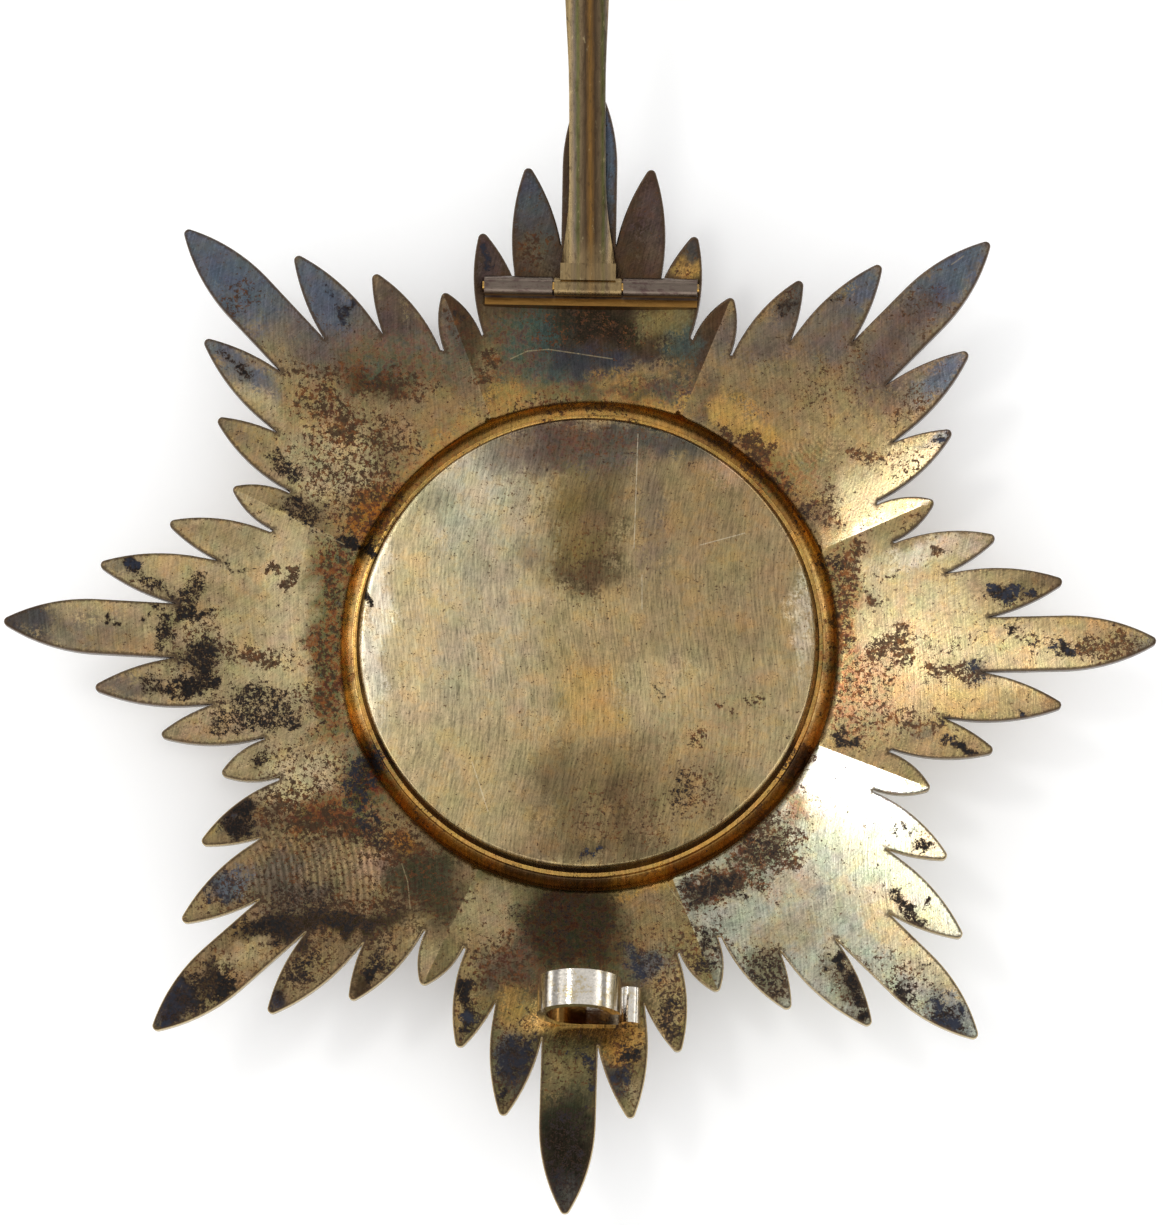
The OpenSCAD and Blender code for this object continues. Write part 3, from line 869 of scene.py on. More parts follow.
# Dark blue-black stains of the star, with the columns of covered(), going round from the north-west
inkStains = (
    (344, 311, 9, 7, 0, 0.7), (330, 294, 4, 4, 0, 0.7), (232, 365, 18, 6, -30, 0.6), (459, 318, 6, 8, 0, 0.6),
    (350, 541, 14, 7, -20, 0.95), (286, 464, 20, 9, -12, 0.62), (302, 510, 28, 13, -25, 0.62),
    (374, 386, 16, 7, -10, 0.6), (484, 256, 7, 14, 0, 0.7), (788, 306, 10, 14, 62, 0.5), (842, 296, 9, 5, 30, 0.5),
    (853, 343, 6, 4, 30, 0.7), (938, 440, 12, 6, 20, 0.8), (812, 516, 12, 10, 0, 0.5), (131, 567, 9, 7, 0, 0.95),
    (158, 584, 24, 11, -12, 0.6), (190, 594, 10, 18, -30, 0.6), (231, 565, 18, 3, -14, 0.7),
    (117, 618, 4, 3, 0, 0.85), (138, 622, 5, 4, 0, 0.85), (160, 626, 11, 20, 0, 0.75), (187, 614, 10, 10, 0, 0.9),
    (206, 612, 12, 7, 0, 0.8), (197, 655, 18, 13, 0, 0.8), (202, 677, 16, 10, 0, 0.8), (174, 684, 32, 11, 0, 0.6),
    (262, 720, 46, 13, 3, 0.62), (254, 696, 30, 12, 0, 0.62), (262, 762, 12, 8, 0, 0.6), (1005, 593, 14, 12, 0, 0.95),
    (1028, 590, 8, 5, 0, 0.8), (1070, 643, 9, 8, 0, 0.95), (1051, 648, 9, 5, 0, 0.9), (1032, 643, 5, 3, 0, 0.9),
    (1015, 629, 6, 3, 0, 0.8), (1023, 708, 10, 5, 0, 0.9), (965, 747, 14, 6, -10, 0.9), (945, 718, 6, 4, 0, 0.8),
    (843, 737, 17, 8, 0, 0.8), (828, 567, 8, 10, 0, 0.6), (975, 668, 10, 10, 0, 0.55), (925, 844, 9, 6, -30, 0.8),
    (901, 833, 9, 4, -30, 0.7), (910, 915, 34, 8, -38, 0.75), (926, 901, 5, 5, 0, 0.7), (949, 1012, 24, 12, -45, 0.75),
    (906, 993, 10, 7, 0, 0.8), (926, 965, 6, 5, 0, 0.6), (904, 981, 14, 9, 0, 0.5), (841, 962, 7, 15, 15, 1.0),
    (857, 997, 10, 18, 20, 0.95), (764, 976, 20, 26, 25, 0.5), (706, 886, 27, 11, 15, 0.7), (736, 899, 11, 6, 0, 0.75),
    (770, 844, 30, 11, 46, 0.5), (701, 964, 13, 16, 0, 0.7), (702, 936, 6, 12, 0, 0.75), (716, 960, 5, 5, 0, 0.8),
    (668, 1021, 17, 28, 15, 0.62), (636, 1048, 8, 10, 0, 0.9), (622, 1075, 17, 14, 0, 0.75), (586, 1075, 8, 26, 0, 0.6),
    (565, 1170, 24, 42, 0, 0.5), (517, 1056, 20, 26, 0, 0.7), (506, 1093, 7, 8, 0, 0.9), (470, 994, 8, 10, 0, 0.9),
    (472, 1010, 5, 7, 0, 0.7), (469, 1028, 11, 12, 0, 0.8), (573, 925, 56, 42, 0, 0.45), (644, 966, 16, 20, 0, 0.6),
    (568, 1118, 26, 12, 0, 0.4), (364, 778, 18, 36, -28, 0.66), (241, 822, 20, 13, 22, 0.75), (222, 888, 22, 16, 30, 0.5),
    (205, 985, 30, 22, 45, 0.62), (229, 986, 12, 10, 0, 0.9), (172, 1010, 26, 16, 45, 0.66), (330, 924, 82, 12, 4, 0.66),
    (280, 997, 5, 7, 0, 0.9), (305, 966, 26, 20, 40, 0.6), (365, 975, 7, 12, 0, 0.9), (378, 952, 16, 14, 0, 0.6),
    (370, 828, 17, 13, 0, 0.6), (300, 900, 40, 16, 0, 0.46), (262, 925, 24, 14, 0, 0.66),
)

# Where the star is speckled brown
speckled = (
    (342, 455, 56, 50, 40, 0.45), (315, 402, 15, 12, 0, 0.56), (346, 427, 19, 13, 0, 0.6), (350, 480, 30, 26, 0, 0.2), (240, 295, 14, 22, -45, 0.4),
    (318, 372, 30, 14, 0, 0.4), (390, 385, 40, 16, -10, 0.5), (376, 512, 24, 34, -35, 0.5), (455, 320, 10, 16, -20, 0.5),
    (400, 440, 30, 22, 0, 0.35), (484, 364, 14, 10, 0, 0.7), (534, 256, 13, 20, 0, 0.5), (590, 330, 60, 14, 0, 0.4),
    (560, 408, 90, 8, 0, 0.4), (684, 270, 12, 8, 0, 0.4), (768, 474, 48, 11, -48, 0.66), (724, 438, 11, 12, 0, 0.6),
    (759, 446, 17, 10, -30, 0.75), (865, 459, 17, 11, -20, 0.55), (822, 508, 20, 20, 0, 0.5), (908, 466, 26, 28, 30, 0.35),
    (914, 404, 22, 16, 40, 0.4), (926, 310, 30, 22, 45, 0.25), (900, 520, 22, 5, 20, 0.35), (840, 380, 50, 30, 20, 0.25),
    (785, 300, 16, 20, 62, 0.35), (852, 562, 14, 20, 0, 0.7), (828, 566, 10, 12, 0, 0.6), (869, 600, 9, 7, 0, 0.85),
    (884, 576, 6, 4, 0, 0.8), (838, 610, 12, 34, 0, 0.65), (890, 644, 18, 14, 0, 0.75), (858, 690, 34, 44, 0, 0.4),
    (1108, 645, 36, 15, 0, 0.55), (954, 672, 28, 13, 0, 0.68), (945, 640, 40, 5, 0, 0.35), (938, 555, 11, 6, 0, 0.75),
    (925, 722, 40, 14, 0, 0.45), (1000, 600, 40, 12, 0, 0.3), (1052, 642, 44, 10, 0, 0.4), (844, 738, 20, 10, 0, 0.6),
    (330, 575, 17, 38, 0, 0.6), (328, 676, 15, 54, 0, 0.62), (260, 655, 15, 9, 0, 0.75), (230, 656, 16, 7, 0, 0.6),
    (274, 567, 6, 8, 0, 0.85), (294, 576, 6, 9, 0, 0.85), (264, 706, 52, 22, 0, 0.45), (190, 640, 36, 40, 0, 0.4),
    (160, 588, 34, 12, 0, 0.35), (282, 655, 24, 10, 0, 0.4), (310, 772, 44, 28, 0, 0.4), (325, 820, 26, 14, 0, 0.65),
    (285, 808, 30, 24, 0, 0.55), (225, 890, 30, 22, 30, 0.4), (330, 870, 90, 46, 10, 0.3), (400, 835, 30, 24, 0, 0.5),
    (335, 915, 96, 22, 4, 0.45), (305, 965, 34, 28, 40, 0.5), (205, 985, 46, 34, 45, 0.4), (380, 950, 24, 26, 0, 0.45),
    (440, 890, 40, 40, 0, 0.25), (345, 830, 40, 12, 0, 0.6), (770, 840, 38, 22, 46, 0.6), (790, 857, 12, 9, 0, 0.6),
    (708, 888, 36, 17, 15, 0.65), (764, 975, 26, 34, 20, 0.5), (850, 985, 22, 40, 20, 0.4), (910, 985, 40, 22, -45, 0.4),
    (706, 950, 24, 34, 0, 0.45), (795, 765, 18, 22, 0, 0.5), (740, 870, 40, 18, 20, 0.4), (668, 1020, 20, 34, 0, 0.5),
    (510, 1060, 24, 50, 0, 0.4), (622, 1060, 22, 44, 0, 0.45), (468, 1010, 20, 34, 0, 0.4), (500, 960, 30, 24, 0, 0.45),
    (560, 1060, 20, 30, 0, 0.35), (655, 960, 30, 30, 0, 0.4),
)

# Where the dark stains turn blue
blued = (
    (26, 624, 30, 16, 0, 0.9), (131, 567, 14, 10, 0, 0.9), (1005, 590, 30, 16, 0, 0.8), (1060, 646, 30, 12, 0, 0.7),
    (978, 672, 16, 16, 0, 0.9), (925, 735, 30, 14, 0, 0.9), (1023, 708, 16, 8, 0, 0.7), (949, 1012, 30, 16, -45, 0.9),
    (565, 1160, 24, 50, 0, 0.3), (588, 1075, 12, 34, 0, 0.7), (516, 1056, 24, 34, 0, 0.6), (618, 1080, 22, 20, 0, 0.8),
    (644, 966, 22, 22, 0, 0.8), (469, 1028, 14, 14, 0, 0.9), (480, 965, 30, 10, 0, 0.8), (938, 440, 20, 12, 0, 0.9),
    (540, 370, 40, 40, 0, 0.5), (344, 311, 14, 12, 0, 0.6), (226, 268, 60, 40, -43, 0.6), (365, 778, 30, 44, -30, 0.5),
    (225, 888, 28, 20, 30, 0.6), (158, 1015, 30, 20, 45, 0.8), (316, 286, 40, 20, -62, 0.6), (484, 256, 10, 16, 0, 0.7),
)

# Where the gilding has turned green, red and brown in small spots
tinted = (
    (332, 600, 20, 66, 0, 0.9), (331, 690, 17, 50, 0, 0.9), (368, 786, 30, 50, -32, 0.7), (795, 800, 12, 18, 30, 0.7),
    (838, 640, 18, 100, 0, 0.7), (868, 690, 30, 44, 0, 0.45), (780, 480, 20, 46, -50, 0.6), (376, 506, 20, 40, -38, 0.6),
    (440, 450, 50, 20, 42, 0.35), (592, 400, 110, 18, 0, 0.35), (560, 940, 80, 50, 0, 0.3), (330, 815, 40, 22, 0, 0.6),
    (740, 870, 50, 20, 30, 0.5), (400, 360, 60, 30, 0, 0.4), (512, 350, 30, 40, 0, 0.4), (320, 430, 50, 50, 0, 0.3),
)
tintStops = ((0.3, "teal"), (0.42, "moss"), (0.49, "olive"), (0.55, "rust"), (0.62, "wine"), (0.7, "umber"))

# Marks like a turning tool's: middle and spacing in the picture's pixels, depth, and the stroke where they show
rippleMarks = ((838, 430, 4.8, 0.17, (815, 451, 32, 17, 0, 1.0)), (150, 900, 6.4, 0.34, (322, 866, 66, 36, 0, 1.0)))

# Scratches, in the picture's pixels: from x, y to x, y. The lines from 287, 516 to 343, 541 and from 666, 881 to 700,
# 929 are painted highlights along creases.
starScratchesAndCreaseGlints = (
    (510, 357, 527, 349), (527, 349, 548, 347), (548, 347, 578, 351), (578, 351, 612, 356),
    (768, 909, 773, 922), (827, 872, 836, 886), (287, 516, 343, 541), (401, 862, 407, 880),
    (407, 880, 410, 908), (950, 274, 962, 266), (666, 881, 700, 929),
)

# The hollow round the rim: its tone and washes, then the rim's wall and step. The hollow's orange strokes at the left
# and right are painted highlights, and most umber strokes, round its lower half, are painted shade.
coveTone, coveTonesWithGlintAndShade = "copper", (
    ("orange", 345, 645, 26, 92, 0, 1.0), ("gold", 824, 560, 26, 50, 0, 0.7), ("orange", 826, 650, 22, 92, 0, 0.9),
    ("umber", 800, 765, 20, 20, 0, 0.9), ("gold", 592, 412, 120, 24, 0, 0.8), ("olive", 340, 592, 12, 22, 0, 0.6),
    ("rust", 347, 668, 6, 20, 0, 0.6), ("umber", 545, 884, 130, 24, 0, 0.85), ("gold", 642, 882, 26, 10, 0, 0.8),
    ("umber", 365, 762, 24, 24, -50, 0.8), ("umber", 742, 845, 50, 16, 40, 0.7), ("rust", 400, 820, 50, 14, -45, 0.6),
    ("umber", 418, 850, 40, 12, -40, 0.6), ("umber", 700, 425, 40, 10, -30, 0.4), ("gold", 380, 500, 60, 14, 52, 0.6),
)
# the wall's brown is painted shade in the groove between the plate and the hollow
rimWallShadeAndStepTone = {"wall": "brown", "step": "gold"}


def paintStar(star, outline, notches):
    places = vertexPlaces(star)
    at = shakenPlaces(places)
    flat = places[:, :2]
    storeNumbers(star, "edgeGap", nearestGap(flat, outline))
    storeNumbers(star, "notchGap", nearestGap(flat, notches))
    storeNumbers(star, "ink", covered(at, inkStains))
    storeNumbers(star, "speckle", covered(at, speckled))
    storeNumbers(star, "blue", covered(at, blued))
    storeNumbers(star, "tint", covered(at, tinted))
    step = 2 * math.pi / starForm["points"]
    turn = np.arctan2(places[:, 1], places[:, 0])
    storeNumbers(star, "creaseGap", np.abs(np.sin(turn % step - step / 2)) * np.hypot(*flat.T))
    for k, (*_, stroke) in enumerate(rippleMarks):
        storeNumbers(star, "ripple" + str(k), covered(at, [stroke]))

    vertex, middles = cornerPlaces(star, places)
    panel = np.round(np.arctan2(middles[:, 1], middles[:, 0]) / step).astype(int) % starForm["points"]
    fromRim = middles[:, :2] - rimCentre
    radius = np.hypot(*fromRim.T)
    turns = np.linspace(0, 2 * math.pi, starForm["roundSteps"], endpoint=False)
    meet = np.interp(np.arctan2(*fromRim.T[::-1]), turns, coveMeeting(turns)[0], period=2 * math.pi)
    above = middles[:, 2] > coveFloor
    wallRadius = rimForm["backRadius"] + rimForm["flare"]
    cove = above & (radius > stepRadius - 0.01) & (radius < meet - 0.02)
    for name, apart in washLayers.items():
        at = [a[vertex] for a in shakenPlaces(places, apart)]
        colours = np.zeros((len(vertex), 3))
        # the panels' tones, with their painted reflection and highlights
        for k, (tone, washes) in enumerate(panelTonesAndReflections):
            here = panel == k
            colours[here] = washed(tone, [a[here] for a in at], washes)
        # the hollow's colours, with its painted highlights and painted shade
        colours[cove] = washed(coveTone, [a[cove] for a in at], coveTonesWithGlintAndShade)
        colours[above & (radius < stepRadius)] = palette[rimWallShadeAndStepTone["step"]]
        # painted shade: the rim's wall is coloured dark brown
        colours[above & (radius < wallRadius)] = palette[rimWallShadeAndStepTone["wall"]]
        storeColours(star, name, colours)


# How the star and the plate wear: noises in cells a millimetre, and how much each one shades
starWear = {
    "cloud": 0.3, "patch": 1.2, "clump": 3.0, "fleck": 4.4, "grit": 9.0, "hue": 0.7, "rough": 0.25,
    "cloudShade": 0.8, "patchShade": 0.9, "fleckShade": 0.7, "gritShade": 0.8, "hatchShade": 1.3, "hueShade": 0.28,
    "hatches": ((86, 0.5, 6.5), (35, 0.6, 7.0)), "sway": 0.7, "swayTurn": 0.3,
    "scores": ((76, 0.22, 8.0, 0.65), (-30, 0.3, 8.0, 0.68)), "scoreLight": 0.45,
}
discWear = {
    "cloud": 0.3, "patch": 1.2, "clump": 3.0, "fleck": 4.2, "grit": 9.0, "hue": 0.5, "rough": 0.28,
    "cloudShade": 0.8, "patchShade": 0.9, "fleckShade": 0.5, "gritShade": 0.6, "hatchShade": 1.6, "hueShade": 0.2,
    "hatches": ((90, 0.4, 6.5), (72, 0.7, 7.0)), "sway": 0.6, "swayTurn": 0.26,
    "scores": ((89, 0.16, 7.0, 0.61), (18, 0.4, 8.0, 0.66)), "scoreLight": 0.5,
}
stainSoft = 0.05
# Painted light at the star's edges, in millimetres: a thin lip at the very edge, a dark line inside the rounded edge,
# painted shade in the notches and a lighter line along the creases
edgeShadeAndGlints = {"lip": 0.09, "from": 0.1, "to": 0.3, "notchFrom": 0.15, "notchTo": 0.5, "crease": 0.14}


# Worn gilding: the washes with clouds, hatched grain, scores and flecks, and stains with ragged borders.
# Gives the tone, the roughness, the metal share and the height for a bump.
def wornGilding(bench, wear):
    cloud = bench.noise((wear["cloud"],) * 3, 3.0, 0.6, 11.0)
    patch = bench.noise((wear["patch"],) * 3, 5.0, 0.7, 4.0)
    fleck = bench.noise((wear["fleck"],) * 3, 3.0, 0.7, 9.0)
    grit = bench.noise((wear["grit"],) * 3, 2.0, 0.6, 13.0)
    clump = bench.noise((wear["clump"],) * 3, 4.0, 0.68, 19.0)
    hue = bench.noise((wear["hue"],) * 3, 1.0, 0.6, 61.0, output=1)
    aside = bench.vector("CROSS_PRODUCT", bench.place(), (0, 0, wear["swayTurn"]))
    place = bench.vector("MULTIPLY_ADD", bench.vector("SINE", aside), (wear["sway"],) * 3, bench.place())
    hatch = 0.5
    for k, (turn, along, across) in enumerate(wear["hatches"]):
        line = bench.hatch(place, turn, along, across, 3.0 + k)
        hatch = hatch + (line - 0.5) * (1.0 if k == 0 else 0.6)
    scored = 0.0
    for k, (turn, along, across, least) in enumerate(wear["scores"]):
        scored = bench.hatch(place, turn, along, across, 30.0 + k).rise(least, least + 0.06) + scored
    shade = 1 + (cloud - 0.5) * wear["cloudShade"] + (patch - 0.5) * wear["patchShade"]
    shade = shade + (fleck - 0.5) * wear["fleckShade"] + (grit - 0.5) * wear["gritShade"]
    shade = (shade + (hatch - 0.5) * wear["hatchShade"]).most(0.25)
    pick = ((fleck - 0.5) * 1.2 + (clump - 0.5) + (grit - 0.5) * 0.4).rise(-0.07, 0.07)
    wash = bench.mix(pick, bench.attribute("washA", 0), bench.attribute("washB", 0))
    tone = bench.scale(wash, shade)
    stray = wear["hueShade"]
    tone = bench.vector("MULTIPLY", tone, bench.vector("MULTIPLY_ADD", hue, (stray,) * 3, (1 - stray / 2,) * 3))
    warm = (cloud + (patch - 0.5) * 0.9).rise(0.5, 0.66)
    tone = bench.mix(warm * 0.45, tone, bench.mix(1.0, tone, (1.0, 0.82, 0.58), "MULTIPLY"))
    cool = (cloud + (fleck - 0.5) * 0.8).rise(0.5, 0.36)
    tone = bench.mix(cool * 0.2, tone, bench.mix(1.0, tone, (0.82, 0.95, 1.0), "MULTIPLY"))
    stops = [(share, (*palette[name], 1)) for share, name in tintStops]
    spots = bench.noise((1.7,) * 3, 3.0, 0.65, 41.0)
    tinge = bench.node("ShaderNodeValToRGB", {"stops": stops}, {0: spots})
    tint = bench.attribute("tint")
    tone = bench.mix((tint * (0.1 + fleck * 1.3)).least(1), tone, tinge)
    ragged = (clump - 0.5) * 3.0 + (patch - 0.5) * 0.7 + (grit - 0.5) * 1.5
    speckle = (bench.attribute("speckle") + ragged).rise(0.5 - stainSoft, 0.5 + stainSoft)
    torn = (patch - 0.5) * 1.2 + (clump - 0.5) * 1.6 + (fleck - 0.5) * 1.2 + (grit - 0.5) * 1.3
    stained = bench.attribute("ink") * 0.95 + torn
    blot = stained.rise(0.5 - stainSoft, 0.5 + stainSoft)
    halo = stained.rise(0.2, 0.55)
    rusty = (spots + (grit - 0.5) * 0.6).rise(0.46, 0.62) * (0.45 + tint * 0.6)
    brown = bench.mix(patch.rise(0.42, 0.6), palette["maroon"], palette["rust"])
    tone = bench.scale(tone, 1 - halo * 0.45)
    tone = bench.mix((speckle * (0.7 + fleck * 0.5)).least(1), tone, bench.mix(rusty, palette["sepia"], brown))
    dots = (grit + (patch - 0.5) * 0.6).rise(0.62, 0.7)
    tone = bench.mix(dots * 0.45, tone, palette["sepia"])
    deep = bench.mix(stained.rise(0.5, 0.85), palette["sepia"], palette["black"])
    dark = bench.mix(bench.attribute("blue") * patch.rise(0.42, 0.56), deep, palette["ink"])
    tone = bench.mix((blot * (0.8 + fleck * 0.4)).least(1), tone, dark)
    tone = bench.mix((scored * fleck.rise(0.4, 0.6)).least(1) * wear["scoreLight"], tone, bench.scale(wash, 1.5))
    rough = wear["rough"] + (hatch - 0.5) * 0.12 + (fleck - 0.5) * 0.2 + speckle * 0.12 + blot * 0.12
    metal = 1 - speckle * 0.15 - blot * 0.15
    height = hatch * 0.5 + fleck * 0.5 + grit * 0.25
    return tone, rough, metal, height


def dressStar(star):
    material, bench = newMaterial("starGilt")
    tone, rough, metal, height = wornGilding(bench, starWear)
    grit = bench.noise((4.5,) * 3, 3.0, 0.6, 21.0)
    # painted shade: a dark umber line just inside the rounded edge, and in the notches between the rays
    gap = bench.attribute("edgeGap")
    dark = 1 - (gap + (grit - 0.5) * 0.5).rise(edgeShadeAndGlints["from"], edgeShadeAndGlints["to"])
    notchShade = 1 - (bench.attribute("notchGap") + (grit - 0.5)).rise(edgeShadeAndGlints["notchFrom"], edgeShadeAndGlints["notchTo"])
    tone = bench.mix(dark.most(notchShade) * 0.82, tone, palette["umber"])
    # painted highlight: a thin lip at the very edge, grey-brown, and champagne on the -Y side where the edge catches
    # the light
    low = bench.node("ShaderNodeSeparateXYZ", {}, {0: bench.place()}, 1).rise(-6, -16)
    lip = bench.mix(low, palette["greyBrown"], palette["champagne"])
    tone = bench.mix((1 - gap.rise(0.03, edgeShadeAndGlints["lip"])) * 0.75, tone, lip)
    # painted highlight: a lighter line along the creases
    crease = 1 - bench.attribute("creaseGap").rise(0.03, edgeShadeAndGlints["crease"])
    tone = bench.mix(crease * grit.rise(0.4, 0.6) * 0.3, tone, bench.scale(tone, 1.7))
    for k, (x, y, spacing, depth, _) in enumerate(rippleMarks):
        middle = levelPlace(x, y, 6.5)
        flat = bench.vector("MULTIPLY", bench.place(), (1, 1, 0))
        reach = bench.vector("DISTANCE", flat, (*middle, 0), output=1)
        turns = 2 * math.pi * photoView["pixelsPerMm"] / spacing
        wave = ((reach + grit * 0.3) * turns).sine() * bench.attribute("ripple" + str(k)) * depth
        height = height + wave
        tone = bench.scale(tone, 1 + wave)
    # scratches as light lines; two of them are painted crease highlights
    for x, y, toX, toY in starScratchesAndCreaseGlints:
        line = bench.scratch(levelPlace(x, y, 6.5), levelPlace(toX, toY, 6.5), 0.06) * grit.rise(0.3, 0.5)
        tone = bench.mix(line * 0.3, tone, palette["champagne"])
    relief = bench.bump(height, 0.02, 0.7)
    bench.close(Base_Color=tone, Metallic=metal, Roughness=rough, Normal=relief)
    star.data.materials.append(material)


star, outline, notches = makeStar()
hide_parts("star_plate")
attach(star, "star")
paintStar(star, outline, notches)
dressStar(star)
print("the star is made and painted")

# The plate that closes the back: rings in millimetres, then its tone and washes in the picture. The champagne and cream
# strokes down its left edge and the thin cream stroke by its right edge are painted highlights.
discForm = {"rings": 46, "steps": 240, "sway": 0.02, "swayCells": 0.16, "soft": 0.05}
discTone, discTonesWithEdgeGlints = "beige", (
    # painted highlights: the champagne stroke at the end of this line and the cream stroke below run down the left edge
    ("pewter", 455, 570, 80, 150, 0, 0.9), ("silver", 450, 500, 60, 44, 45, 0.6), ("champagne", 404, 610, 34, 150, -4, 0.8),
    ("cream", 373, 606, 14, 110, 0, 0.95), ("bronze", 725, 540, 90, 130, 0, 0.6), ("bronze", 680, 500, 70, 40, -10, 0.6),
    ("slate", 427, 495, 22, 15, 0, 0.35), ("plum", 580, 447, 64, 25, -3, 1.0), ("greyBrown", 510, 455, 30, 22, 0, 0.7),
    ("slate", 660, 440, 54, 15, -10, 0.9), ("steel", 600, 462, 36, 9, 0, 0.5), ("bark", 586, 528, 35, 64, 0, 0.9),
    ("umber", 588, 576, 30, 14, 0, 0.7), ("brown", 606, 500, 16, 40, 0, 0.6), ("slate", 530, 553, 20, 12, 0, 0.4),
    ("greyBrown", 650, 530, 12, 50, 0, 0.5), ("khaki", 600, 650, 60, 30, 0, 0.5), ("gold", 588, 700, 31, 34, 0, 0.6),
    ("bark", 592, 800, 70, 60, 0, 0.75), ("brown", 560, 790, 24, 44, 0, 0.6), ("umber", 634, 806, 24, 36, 0, 0.7),
    ("bronze", 690, 800, 60, 44, 0, 0.8), ("umber", 600, 850, 80, 12, 0, 0.5), ("rose", 727, 473, 18, 13, -40, 0.5),
    # painted highlight: the thin cream stroke by the right edge
    ("champagne", 665, 690, 40, 30, 0, 0.4), ("cream", 806, 600, 6, 70, 0, 0.5), ("beige", 500, 780, 40, 60, 0, 0.4),
)
discInk = ((361, 595, 5, 13, 0, 1.0), (591, 852, 8, 5, 0, 0.8), (658, 694, 5, 5, 0, 0.6), (680, 790, 14, 16, 0, 0.5))
discSpeckle = (
    (696, 733, 7, 11, 0, 0.66), (748, 692, 9, 9, 0, 0.6), (723, 713, 6, 6, 0, 0.7), (620, 820, 50, 30, 0, 0.3),
    (585, 560, 30, 40, 0, 0.25), (700, 790, 30, 24, 0, 0.4), (590, 440, 60, 24, 0, 0.25), (530, 500, 30, 20, 0, 0.2),
)
discBlued = ((591, 852, 12, 10, 0, 1.0), (600, 450, 60, 16, 0, 0.6))
discTinted = ((600, 450, 60, 20, 0, 0.25), (700, 720, 60, 40, 0, 0.2))
discScratches = ((638, 434, 634, 548), (642, 575, 642, 609), (472, 762, 488, 811), (700, 545, 745, 533))


def makeDisc():
    back, high, thick = rimForm["backRadius"], rimForm["backHeight"], rimForm["backThick"]
    bevel, soft = rimForm["backBevel"], discForm["soft"]
    slant = soft * 0.7
    radii = np.linspace(0.2, back - bevel - soft, discForm["rings"])
    profile = [(radius, high) for radius in radii]
    profile += [(back - bevel + slant * 0.4, high - slant * 0.6), (back - slant * 0.6, high - bevel + slant * 0.4)]
    profile += [(back, high - bevel - soft), (back, high - thick), (0.2, high - thick)]
    turns = np.linspace(0, 2 * math.pi, discForm["steps"], endpoint=False)
    way = np.stack([np.cos(turns), np.sin(turns)], 1)
    rings = []
    for k, (radius, height) in enumerate(profile):
        xy = rimCentre + way * radius
        heights = np.full(len(xy), height)
        if k < len(radii) - 1:
            sways = [noise.noise(Vector((x * discForm["swayCells"], y * discForm["swayCells"], 3))) for x, y in xy]
            heights += discForm["sway"] * (np.array(sways) - 1)
        rings.append(np.column_stack([xy, heights]))
    per, count = len(turns), len(profile)
    faces = [face[::-1] for face in bands(0, count, per)]
    faces += [tuple(range(per)), tuple(range(count * per - 1, (count - 1) * per - 1, -1))]
    return makeMesh("backDisc", np.vstack(rings), faces)


def dressDisc(disc):
    places = vertexPlaces(disc)
    at = shakenPlaces(places)
    storeNumbers(disc, "ink", covered(at, discInk))
    storeNumbers(disc, "speckle", covered(at, discSpeckle))
    storeNumbers(disc, "blue", covered(at, discBlued))
    storeNumbers(disc, "tint", covered(at, discTinted))
    vertex, _ = cornerPlaces(disc, places)
    for name, apart in washLayers.items():
        at = [a[vertex] for a in shakenPlaces(places, apart)]
        # the plate's tones, with painted highlights at its edges
        storeColours(disc, name, washed(discTone, at, discTonesWithEdgeGlints))
    material, bench = newMaterial("discSilver")
    tone, rough, metal, height = wornGilding(bench, discWear)
    for x, y, toX, toY in discScratches:
        ends = [levelPlace(a, b, rimForm["backHeight"]) for a, b in ((x, y), (toX, toY))]
        tone = bench.mix(bench.scratch(*ends, 0.05) * height.rise(0.4, 0.7) * 0.4, tone, palette["cream"])
    bench.close(Base_Color=tone, Metallic=metal, Roughness=rough, Normal=bench.bump(height, 0.02, 0.6))
    disc.data.materials.append(material)


disc = makeDisc()
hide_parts("back_plate")
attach(disc, "star")
dressDisc(disc)
print("the plate is made and painted")

# The finish of the other pieces: tones, noise in cells a millimetre, roughness and the softened edge
smallFinish = {
    "front_medallion": {"tone": "champagne", "worn": "beige", "grain": (2.0, 2.0, 2.0), "rough": 0.34, "soft": 0},
    "hinge_leaf": {
        "tone": "greyBrown", "worn": "plum", "grain": (0.8, 6.0, 6.0), "rough": 0.3, "soft": 0.06,
        "strip": "copper", "stripTo": 26.7,
    },
    "hinge_wire": {"tone": "gold", "worn": "bronze", "grain": (1.0, 6.0, 6.0), "rough": 0.25, "soft": 0.03},
    "catch": {
        "tone": "platinum", "worn": "pewter", "grain": (5.0, 5.0, 0.7), "rough": 0.12, "soft": 0.07,
        # the copper inside the ring is painted shade of its hollow
        "bend": (0.8, -29.9, 6.83), "lean": 9, "ring": 3.2, "inner": "copper", "innerShadeTo": 2.5,
    },
}


# A small bevel round a CAD node's sharp edges
def soften(made, wide):
    made.data.shade_smooth()
    made.data.set_sharp_from_angle(angle=math.radians(32))
    if wide:
        bevel = made.modifiers.new("softEdges", "BEVEL")
        bevel.width = wide * mm
        bevel.segments = 2
        bevel.limit_method = "ANGLE"
        bevel.angle_limit = math.radians(40)
        bevel.harden_normals = True


